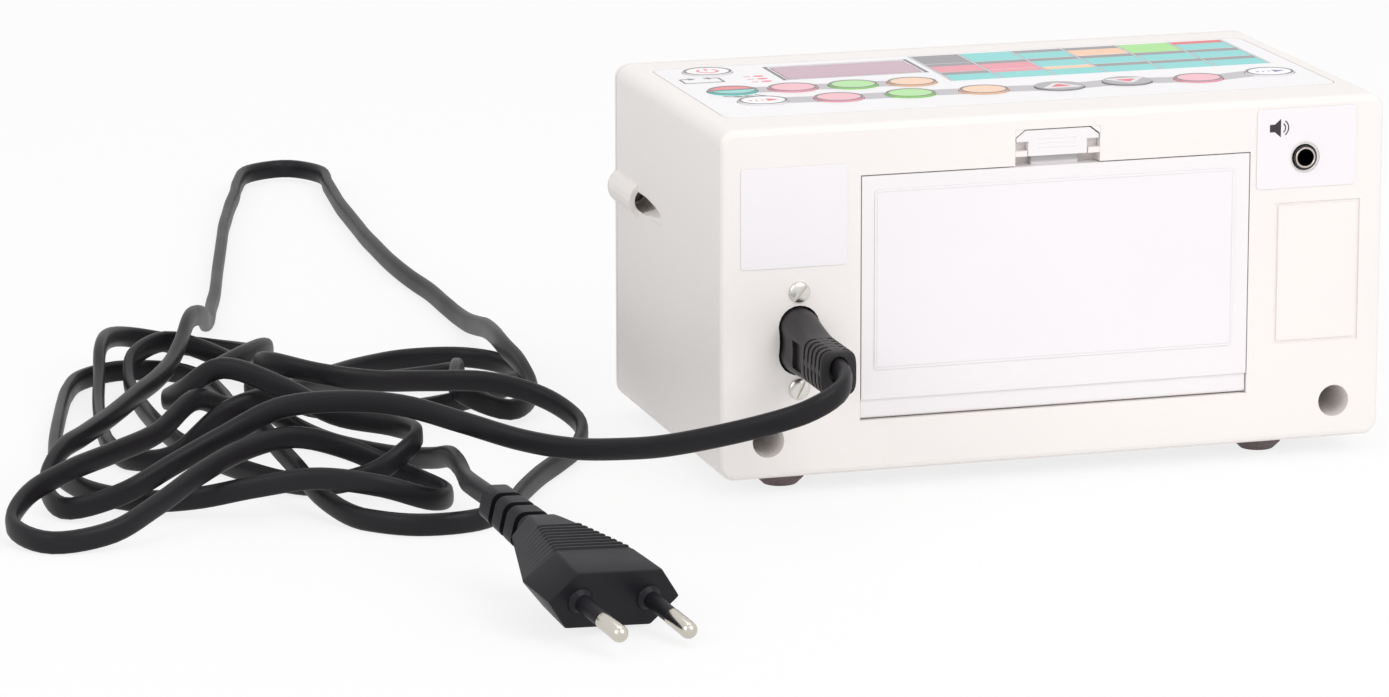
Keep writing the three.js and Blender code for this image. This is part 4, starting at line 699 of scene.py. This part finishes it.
contacts = [(f"contact_top_{n + 1}", (2 * n, 2 * n + 1), "top") for n in range(3)]
contacts += [(f"contact_bottom_{n + 1}", cells, "bottom") for n, cells in enumerate(((0,), (1, 2), (3, 4), (5,)))]
for node, numbers, end in contacts:
    inward = -1 if end == "top" else 1
    outer_z = BAY_HIGH - END_GAP if end == "top" else BAY_LOW + END_GAP
    xs = [(n - 2.5) * CELL_PITCH for n in numbers]
    half = CELL_RADIUS - END_GAP
    outline = rounded_ring(max(xs) - min(xs) + 2 * half, 2 * half, PLATE_CORNER, 4)
    plate = skin(f"{node}_plate", [[((max(xs) + min(xs)) / 2 + x, CELL_Y + y, z) for x, y in outline]
                                   for z in (outer_z, outer_z + inward * CONTACT_PLATE)])
    soften(plate, 0.0001)
    fit_out(plate, nickel, "case", "nickel", node)
    for n, x in zip(numbers, xs):
        if (end == "top") == (n % 2 == 0):
            continue
        coil = []
        for t in (i / SPRING_STEPS for i in range(SPRING_STEPS + 1)):
            reach, turn = SPRING_WIDE - SPRING_TAPER * t, 2 * pi * SPRING_TURNS * t
            coil.append((x + reach * cos(turn), CELL_Y + reach * sin(turn),
                         outer_z + inward * (CONTACT_PLATE + WIRE + (SPRING_LONG - 2 * WIRE) * t)))
        spring = sweep(f"{node}_spring_{n + 1}", coil, ellipse(0, 0, WIRE, -WIRE, 8), crease=60)
        fit_out(spring, nickel, "case", "nickel")

# The battery door is a smooth white moulding that turns about its lower edge. The tongue above its top
# edge carries painted shade: it is tinted grey where the latch shades it, though the plastic is white.
DOOR_TOP, TONGUE_PAINTED_SHADE = 78.2, (196, 193, 195)
# Two copies of the door's white plastic: the second gets painted shade on the tongue.
door_plastic, door_plastic_painted_shade = (
    surface(name, (242, 238, 239), 0.36, mottle=0.01, spread=0.05, grain=1800, depth=18,
            cloud=30) for name in ("door_plastic", "door_plastic_painted_shade"))
# Painted shade: everything above the door's top edge is tinted grey as the latch's shadow.
two_finish(door_plastic_painted_shade, TONGUE_PAINTED_SHADE, "Z", DOOR_TOP / 1000, 0.0003)
dress(("battery_door",), door_plastic_painted_shade, soft=0.0002)
dress(("door_latch",), door_plastic, soft=0.0002)

# The latch is a hat-shaped tab of the same white plastic that slides down on the door's tongue. Three
# shallow finger lines stand where the photograph's tab has its raised word, which is left off.
LATCH_FACE, LINE_Z, LINE_PITCH = 0.2, 82.2, 1.1
for row in range(3):
    z = LINE_Z + LINE_PITCH * row
    line = skin(f"latch_line_{row + 1}", [
        [(sx * half_x, LATCH_FACE + out, z + sz * half_z) for sx, sz in CORNERS]
        for out, half_x, half_z in ((0.02, 5.0, 0.22), (-0.14, 4.9, 0.1))])
    fit_out(line, door_plastic, "latch", "door")

# The housing closes round the latch: cheeks beside its neck, corners over its shoulders and a rail
# behind each ear, so that only the ears' travel and the grey hollow under the neck stay open.
POCKET_X, POCKET_BACK = 10.8, 4.2
CHEEK = ((7.8, 80.1), (POCKET_X, 80.1), (POCKET_X, 81.45), (7.8, 81.45))
SHOULDER = ((POCKET_X, 84.85), (POCKET_X, 86.65), (8.45, 86.65))
RAIL = ((6.5, 80.1), (POCKET_X, 80.1), (POCKET_X, 86.6), (6.5, 86.6))
for side, word in SIDES:
    shapes = [slab([(side * x, z) for x, z in outline], front, back)
              for outline, front, back in ((CHEEK, 0.02, 2.4), (SHOULDER, 0.02, 2.4), (RAIL, 2.42, POCKET_BACK))]
    fit_out(lofts(f"latch_guide_{word}", shapes), shell_plastic, "case", "shell")

# The lead's connector is moulded in satin dark grey PVC: a figure-eight nose that tapers to a lower
# grip, with cross ribs either side of a spine, a dark gauge slot in its flank and a hooded lead exit.
NOSE_WIDTH, NOSE_HEIGHT, NOSE_DEPTH = 9.4, 16.2, 12.9
GRIP_WIDTH, GRIP_HEIGHT, GRIP_DROP = 8.9, 11.1, 1.05
GRIP_START, GRIP_END, END_FACE = -17.2, -31.0, -31.7
GROOVES, GROOVE_PITCH, GROOVE_WIDE, GROOVE_DEEP = 5, 2.95, 1.25, 0.75
GAUGE_Y, GAUGE_Z, GAUGE_DEEP = (-8.7, -15.2), (33.9, 40.7), 1.0
TAPER = ((-2.0, 0.1), (-4.5, 0.32), (-8.0, 0.6), (-12.0, 0.86), (-15.5, 0.99))  # y, share of the grip's form
HOOD = ((-29.4, 1.9, 2.9), (-30.6, 2.1, 3.1), (-33.0, 2.9, 3.9))  # y, half width, half height
SPINE_SINK = 0.58
SPINES = (("left", -1, 0, 0.5, 0.85), ("right", 1, 0, 0.5, 0.85), ("top", 0, 1, 1.5, 0.5), ("under", 0, -1, 1.5, 0.5))


def figure_eight(width, height, waist=0.05, steps=10):
    """The nose's section: two round ends and slightly hollow flanks, as x, z points."""
    r, rise = width / 2, (height - width) / 2
    half = arc(0, rise, r, r, 0, pi, steps)
    half += [(-r + waist * width * sin(pi * i / 5), rise - 2 * rise * i / 5) for i in range(1, 5)]
    return half + [(-x, -z) for x, z in half]


def signed_power(value, power):
    return copysign(abs(value) ** power, value)


def squarer(width, height, power=0.5):
    """A rounded rectangle with as many points as the nose's section, matched by direction."""
    points = []
    for x, z in figure_eight(width, height, 0):
        a = atan2(z / height, x / width)
        points.append((signed_power(cos(a), power) * width / 2, signed_power(sin(a), power) * height / 2))
    return points


def at_inlet(section, y, drop=0.0):
    return [(INLET_X + x, y, INLET_Z + z - drop) for x, z in section]


def between(a, b, share):
    return a + (b - a) * share


def mixed(a, b, share):
    return [(between(ax, bx, share), between(az, bz, share)) for (ax, az), (bx, bz) in zip(a, b)]


nose_form, grip_form = figure_eight(NOSE_WIDTH, NOSE_HEIGHT), squarer(GRIP_WIDTH, GRIP_HEIGHT)
rows = [at_inlet(mixed(nose_form, [(0, 0)] * len(nose_form), 0.06), NOSE_DEPTH),
        at_inlet(nose_form, NOSE_DEPTH - 0.5), at_inlet(nose_form, 0.0)]
for y, share in TAPER:
    rows.append(at_inlet(mixed(nose_form, grip_form, share), y, GRIP_DROP * share))
thin_form = squarer(GRIP_WIDTH - 2 * GROOVE_DEEP, GRIP_HEIGHT - 2 * GROOVE_DEEP, 0.55)
for groove in range(GROOVES):
    y = GRIP_START - 0.35 - groove * GROOVE_PITCH
    rows += [at_inlet(section, y - back, GRIP_DROP) for section, back in (
        (grip_form, 0), (thin_form, 0.12), (thin_form, GROOVE_WIDE - 0.12), (grip_form, GROOVE_WIDE))]
rows += [at_inlet(grip_form, GRIP_END, GRIP_DROP),
         at_inlet(squarer(GRIP_WIDTH - 0.3, GRIP_HEIGHT - 0.3), END_FACE + 0.25, GRIP_DROP),
         at_inlet(squarer(GRIP_WIDTH - 1.2, GRIP_HEIGHT - 1.2), END_FACE, GRIP_DROP)]
connector_moulding = surface("connector_moulding", (42, 40, 42), 0.42, mottle=0.1, grain=1400,
                             depth=30, shine=0.26)
connector = skin("connector_body", rows, crease=30)
gauge_tool = skin("gauge_tool", [[(x, y, z) for y in GAUGE_Y for z in (GAUGE_Z if y == GAUGE_Y[0] else GAUGE_Z[::-1])]
                                 for x in (INLET_X - 6, INLET_X - GRIP_WIDTH / 2 + GAUGE_DEEP)])
cut_out(connector, gauge_tool)
hood_tool = skin("hood_tool", [[(x, y, z) for x, z in ellipse(INLET_X, INLET_Z - 0.3, w, h, 24)]
                               for y, w, h in HOOD])
cut_out(connector, hood_tool)
fit_out(connector, connector_moulding, "lead", "lead_moulding", "mains_connector")
for word, dx, dz, hx, hz in SPINES:
    x = INLET_X + dx * (GRIP_WIDTH / 2 - SPINE_SINK)
    z = INLET_Z - GRIP_DROP + dz * (GRIP_HEIGHT / 2 - SPINE_SINK)
    spine = skin(f"connector_spine_{word}", [[(x + sx * hx, y, z + sz * hz) for sx, sz in CORNERS]
                                             for y in (GRIP_START + 0.2, GRIP_END + 0.1)])
    soften(spine, 0.0003)
    fit_out(spine, connector_moulding, "lead", "lead_moulding")

# The mains lead is flat two-core flex with a soft black PVC jacket. It stands on its edge and lies
# in loose loops on the floor, from the moulded connector to the plug's neck.
LEAD_HEIGHT, LEAD_THICKNESS = 5.4, 3.2
LEAD_RING_STEP, LEAD_RING_POINTS = 2.5, 20
LEAD_SQUARE = (0.7, 0.8)  # powers that square the section; 1 would leave it round
LEAD_ROUTE = (
    (-65.3, -31.5, 38.4), (-65.9, -38.5, 38), (-69.5, -45, 36.2), (-77, -47, 33), (-86, -42.5, 29.2),
    (-104.5, -24, 21.1), (-113, -12, 17.9), (-122, 0, 15.8), (-132, 11, 16.1), (-144, 19.5, 19.2),
    (-157, 26, 22.7), (-171.5, 29.5, 24), (-186.5, 31.5, 22.8), (-200, 30, 17.4), (-213.5, 26, 12.2),
    (-227, 22, 6.9), (-239.5, 28, 2.9), (-241.5, 42, 5.6), (-235.5, 54.5, 10.2), (-227.5, 67.5, 10.5),
    (-220, 80.5, 10.4), (-213, 93.5, 10.4), (-206, 107, 10.5), (-199, 120, 10.5), (-192.5, 134, 11),
    (-187, 147.5, 13.1), (-182, 161.5, 15.7), (-177, 175.5, 13.9), (-172.5, 189.5, 10.1), (-169, 203, 5.6),
    (-165, 217.5, 3.3), (-161.5, 232, 2.7), (-157.5, 246.5, 2.7), (-154, 261, 2.7), (-150.5, 276, 2.7),
    (-147, 290.5, 2.7), (-143.5, 305, 2.7), (-140, 319.5, 2.7), (-136.5, 334, 2.7), (-132.5, 348.5, 2.7),
    (-128.5, 363, 2.7), (-124, 377.5, 2.9), (-120, 392, 3.1), (-114, 405.5, 3.6), (-101, 410.5, 3.6),
    (-93, 398.5, 3.6), (-94, 384, 3), (-95.5, 369, 2.8), (-97, 354, 2.7), (-98, 339, 2.7), (-99, 324, 2.7),
    (-100, 309, 2.7), (-100.5, 294, 2.7), (-101, 279, 2.7), (-101, 264, 2.7), (-100.5, 249, 2.7),
    (-99.5, 234, 2.7), (-99.5, 219, 2.7), (-99.5, 204, 2.8), (-100, 189, 3.9), (-101, 174, 6.3),
    (-102.5, 159.5, 9), (-104, 144.5, 10.6), (-105, 129.5, 10.6), (-104.5, 114.5, 8.9), (-105.5, 100.5, 4.8),
    (-114.5, 90, 3.8), (-126, 96, 8.3), (-123, 110, 10.4), (-120, 123.5, 6.5), (-130, 132, 3.5),
    (-143.5, 126.5, 4.5), (-153, 115.5, 7.5), (-162, 103.5, 10.5), (-171, 92, 12.4), (-181, 80.5, 13.2),
    (-191, 69.5, 14.6), (-201.5, 59, 19.6), (-212.5, 49.5, 14.4), (-225, 41, 12.4), (-237.5, 32.5, 10.9),
    (-249, 23.5, 8), (-255, 11, 4.1), (-248.5, -1.5, 2.7), (-234, -1.5, 4), (-221.5, 5.5, 8),
    (-209.5, 13.5, 12.7), (-197.5, 21.5, 15.7), (-184, 27.5, 16.5), (-170, 31, 11.9), (-157, 28, 5.6),
    (-149, 16.5, 2.8), (-155.5, 4, 4.8), (-169, 1.5, 9.8), (-183, 6.5, 11.3), (-196.5, 13.5, 8.5),
    (-209, 20.5, 5), (-220.5, 29.5, 2.9), (-230, 41.5, 2.7), (-234, 55.5, 2.7), (-234, 70.5, 2.7),
    (-231.5, 85.5, 2.7), (-228.5, 100, 2.7), (-225, 115, 2.7), (-221.5, 129.5, 2.7), (-217.5, 144, 2.8),
    (-211.5, 157.5, 2.8), (-199.5, 165.5, 2.7), (-186.5, 159.5, 2.8), (-181, 146, 2.8), (-180, 131, 2.7),
    (-180.5, 116, 2.7), (-182.5, 101, 2.8), (-184, 86, 3.9), (-185, 71, 6.1), (-185.5, 56.5, 12.1),
    (-184.5, 41.5, 10.6), (-183, 27, 8.8), (-180, 12.5, 4.9), (-174, -1, 2.7), (-162.5, -10.5, 2.7),
    (-148, -10, 2.7), (-137.5, 0.5, 2.7), (-130.5, 13.5, 2.7), (-123, 26.5, 2.7), (-114.5, 39, 2.7),
    (-106.5, 51.5, 3.3), (-102.5, 66, 5.4), (-108.5, 79, 9.3), (-121, 85, 12.6), (-136, 84.5, 14.1),
    (-150.5, 81, 15.9), (-165, 81.5, 18.6), (-175, 92, 19.8), (-175, 106, 16.1), (-168, 118.5, 11.1),
    (-160, 130, 6.1), (-150.5, 141, 3.3), (-139, 151, 2.7), (-125.5, 156.5, 2.8), (-110.5, 154.5, 2.8),
    (-101.5, 143.5, 2.7), (-101.5, 128.5, 2.7), (-110, 116.5, 2.7), (-122, 107.5, 2.7), (-135, 100, 3.2),
    (-147, 91.5, 5.1), (-158.5, 82.5, 8.5), (-169, 72.5, 12.5), (-180.5, 63, 17.9), (-193.5, 57.5, 16.6),
    (-206.5, 59.5, 5.9), (-215.5, 70.5, 2.9), (-217.5, 85, 2.7), (-216.5, 100, 2.7), (-214.5, 115, 2.7),
    (-212, 130, 3.6), (-209, 144.5, 6.2), (-206, 158.5, 10.2), (-201, 172.5, 10), (-192.5, 184.5, 7),
    (-179, 187, 3.5), (-167, 178, 3), (-163, 164, 5.1), (-163.5, 150, 9.2), (-168, 136, 13.2),
    (-176, 123.5, 14.4), (-186, 112.5, 13.5), (-195.5, 101, 12.3), (-202.5, 87.5, 13.3), (-201.5, 73.5, 18.3),
    (-193.5, 62.5, 26.3), (-181, 54.5, 22.6), (-168.5, 48.5, 16), (-156, 40.5, 14.3), (-153.5, 27, 14.4),
    (-164.5, 21, 8.4), (-176, 28.5, 3.9), (-185, 40.5, 2.7), (-191.5, 54, 2.7), (-196.5, 68, 2.7),
    (-200, 82.5, 2.7), (-201.5, 97.5, 2.7), (-202, 112.5, 2.7), (-202, 127.5, 3.1), (-201.5, 142.5, 4.8),
    (-197.5, 156.5, 8.4), (-186.5, 165, 9.9), (-174, 160.5, 5.8), (-169.5, 146.5, 4.5), (-172, 132, 5.7),
    (-175, 117, 6.6), (-174.5, 102, 6), (-171, 88, 4.3), (-165, 74, 2.9), (-158, 61, 3), (-152, 47, 4.5),
    (-148, 33, 7.4), (-147.5, 18.5, 11.2), (-149, 3.5, 13), (-151.5, -11, 14.6), (-154.5, -25.5, 16.9),
    (-156.5, -40, 19.2), (-155.7, -54.5, 19.6),
)
LEAD_SPAN_STEPS = 12
JACKET_BLACK = (30, 28, 31)


def smooth_line(knots, steps):
    """Points on a centripetal curve through the knots."""
    knots = np.array(knots, float)
    row = [2 * knots[0] - knots[1], *knots, 2 * knots[-1] - knots[-2]]
    line = []
    for before, start, end, after in zip(row, row[1:], row[2:], row[3:]):
        gap_in, gap, gap_out = (np.linalg.norm(q - p) ** 0.5
                                for p, q in ((before, start), (start, end), (end, after)))
        slope_in = ((start - before) / gap_in - (end - before) / (gap_in + gap) + (end - start) / gap) * gap
        slope_out = ((end - start) / gap - (after - start) / (gap + gap_out) + (after - end) / gap_out) * gap
        for t in np.arange(steps) / steps:
            line.append((2 * t ** 3 - 3 * t ** 2 + 1) * start + (t ** 3 - 2 * t ** 2 + t) * slope_in
                        + (3 * t ** 2 - 2 * t ** 3) * end + (t ** 3 - t ** 2) * slope_out)
    line.append(knots[-1])
    return np.array(line)


lead_line = even_steps(smooth_line(LEAD_ROUTE, LEAD_SPAN_STEPS), LEAD_RING_STEP)
lead_line[:, 2] = np.maximum(lead_line[:, 2], LEAD_HEIGHT / 2)
lead_section = [(signed_power(u, LEAD_SQUARE[0]) * LEAD_THICKNESS / 2,
                 signed_power(v, LEAD_SQUARE[1]) * LEAD_HEIGHT / 2) for u, v in ellipse(0, 0, 1, 1, LEAD_RING_POINTS)]
lead_jacket = surface("lead_jacket", JACKET_BLACK, 0.42, mottle=0.12, grain=500, depth=30,
                      shine=0.2)
lead = fit_out(sweep("mains_lead_flex", lead_line, lead_section), lead_jacket, "lead", "lead_jacket", "mains_lead")

# The plug is a flat two-pin Europlug, moulded on the lead in satin black PVC: a wide front with
# chamfered sides, a gripping grid of ribs on top and below, and a slotted neck that flexes.
PLUG_FACE = (-141.0, -106.0, 8.2)
PLUG_YAW, PLUG_PITCH, PLUG_ROLL = 15.9, 12.0, -6.5
PLUG_WIDTH, PLUG_FLAT, PLUG_HEIGHT = 35.3, 22.6, 13.7
PLUG_FACET, PLUG_BODY = 11.0, 34.0
PLUG_TAIL_WIDTH, PLUG_TAIL_HEIGHT = 14.0, 10.5
PLUG_NECK, PLUG_NECK_WIDTH, PLUG_NECK_HEIGHT = 20.0, 9.6, 9.0
PLUG_NECK_END_WIDTH, PLUG_NECK_END_HEIGHT = 7.6, 8.0
PLUG_EDGE, PLUG_BACK_FLAT = 0.7, PLUG_FLAT * 0.9
RIB_PITCH, RIB_HEIGHT, RIB_COUNT = 1.7, 0.35, 9
NECK_SLOTS, NECK_SLOT_PITCH, NECK_SLOT_WIDTH, NECK_SLOT_DEPTH = 3, 5.6, 1.5, 1.7
PIN_RADIUS, PIN_SPACING, PIN_LENGTH, PIN_SLEEVE = 2.0, 18.2, 19.0, 10.0

plug_yaw, plug_pitch, plug_roll = (radians(a) for a in (PLUG_YAW, PLUG_PITCH, PLUG_ROLL))
plug_nose = Vector((sin(plug_yaw) * cos(plug_pitch), -cos(plug_yaw) * cos(plug_pitch),
                    -sin(plug_pitch)))
plug_level = Vector((cos(plug_yaw), sin(plug_yaw), 0))
plug_up = plug_nose.cross(plug_level)
plug_across = plug_level * cos(plug_roll) + plug_up * sin(plug_roll)
plug_over = plug_nose.cross(plug_across)


def on_plug(across, over, out):
    return Vector(PLUG_FACE) + plug_across * across + plug_over * over + plug_nose * out


def plug_section(out, width, flat, height, edge=PLUG_EDGE, ribs=0.0):
    """A long six-sided section with rounded corners; ribs lifts its top and bottom middles."""
    w, f, h = width / 2, flat / 2, height / 2
    corners = [Vector((w, 0)), Vector((f, h)), Vector((-f, h)), Vector((-w, 0)), Vector((-f, -h)), Vector((f, -h))]
    section = []
    for i, corner in enumerate(corners):
        back, on = ((other - corner).normalized() * edge for other in (corners[i - 1], corners[(i + 1) % 6]))
        near_in, near_out = corner + back * 0.35, corner + on * 0.35
        middle = (near_in + near_out) / 2
        section += [corner + back, (near_in + middle) / 2, (near_out + middle) / 2, corner + on]
    lifted = []
    for p in section:
        lift = ribs if abs(p.x) < f + edge and abs(abs(p.y) - h) < edge / 2 else 0
        lifted.append(on_plug(p.x, p.y + copysign(lift, p.y), out))
    return lifted


plug_rings = [plug_section(-PLUG_BODY - 1, 6, 4, 6)]
rib_span = (RIB_COUNT - 0.5) * RIB_PITCH
rib_start = -PLUG_FACET - 1.5 - rib_span
stations = [(-PLUG_BODY, 0), (-PLUG_BODY + 2, 0), (rib_start - 0.8, 0)]
for rib in range(RIB_COUNT):
    base = rib_start + rib * RIB_PITCH
    stations += [(base, 0), (base + 0.25, RIB_HEIGHT), (base + 0.75, RIB_HEIGHT), (base + 1.0, 0)]
stations += [(-PLUG_FACET - 0.6, 0), (-PLUG_FACET, 0)]
for out, lift in stations:
    share = (out + PLUG_BODY) / (PLUG_BODY - PLUG_FACET)
    plug_rings.append(plug_section(
        out, between(PLUG_TAIL_WIDTH, PLUG_WIDTH, share), between(PLUG_TAIL_WIDTH / 2, PLUG_BACK_FLAT, share),
        between(PLUG_TAIL_HEIGHT, PLUG_HEIGHT, share ** 0.7), ribs=lift))
for out, shrink in ((-PLUG_FACET / 2, 0), (-0.5, 0.1), (-0.15, 0.35), (0, 0.8)):
    flat = between(PLUG_BACK_FLAT, PLUG_FLAT, 1 + out / PLUG_FACET)
    plug_rings.append(plug_section(out, PLUG_WIDTH - 0.4 - shrink, flat - shrink / 2, PLUG_HEIGHT - shrink))
lead_moulding = surface("lead_moulding", (27, 26, 31), 0.42, mottle=0.1, grain=1400, depth=30,
                        shine=0.2)
plug = fit_out(skin("plug_body", plug_rings, crease=28), lead_moulding, "lead", "lead_moulding", "mains_plug")
neck_stations = [(-PLUG_BODY + 1.5, 0)]
for slot in range(NECK_SLOTS):
    top = -PLUG_BODY - NECK_SLOT_PITCH * (slot + 0.6) + NECK_SLOT_WIDTH
    neck_stations += [(top + 0.15, 0), (top, 1), (top - NECK_SLOT_WIDTH, 1), (top - NECK_SLOT_WIDTH - 0.15, 0)]
neck_stations += [(-PLUG_BODY - PLUG_NECK + 0.6, 0), (-PLUG_BODY - PLUG_NECK, 0.3)]
neck_rings = []
for out, depth in neck_stations:
    share = (-PLUG_BODY - out) / PLUG_NECK
    width = between(PLUG_NECK_WIDTH, PLUG_NECK_END_WIDTH, share) - 2 * depth * NECK_SLOT_DEPTH
    height = between(PLUG_NECK_HEIGHT, PLUG_NECK_END_HEIGHT, share) - depth * NECK_SLOT_DEPTH
    neck_rings.append([on_plug(x, y, out) for x, y in rounded_ring(width, height, min(width, height) * 0.28)])
neck = fit_out(skin("plug_neck", neck_rings, crease=35), lead_moulding, "lead", "lead_moulding")


def pin_part(name, side, rows, crease=40):
    """A round part on one pin's axis: rows are radius and place out from the plug's face."""
    return skin(name, [[on_plug(x, y, out) for x, y in ellipse(side * PIN_SPACING / 2, 0, radius, radius, 28)]
                       for radius, out in rows], crease)


pin_sleeve_rows = ((2.0, -1.0), (3.1, -0.9), (3.1, 0.25), (2.9, 0.5), (2.0, 1.2), (1.86, PIN_SLEEVE - 0.1),
                   (1.7, PIN_SLEEVE))
tip = [(PIN_RADIUS * cos(radians(a)), PIN_LENGTH - PIN_RADIUS * (1 - sin(radians(a))))
       for a in (0, 18, 36, 54, 70, 82)]
pin_rows = ((1.5, -4), (1.5, PIN_SLEEVE - 0.3), (1.9, PIN_SLEEVE - 0.2), (PIN_RADIUS, PIN_SLEEVE + 0.1), *tip)
for side, word in SIDES:
    fit_out(pin_part(f"pin_sleeve_{word}", side, pin_sleeve_rows), lead_moulding, "lead",
                              "lead_moulding")
    fit_out(pin_part(f"plug_pin_{word}_metal", side, pin_rows, crease=60), nickel, "lead",
                              "nickel", f"plug_pin_{word}")
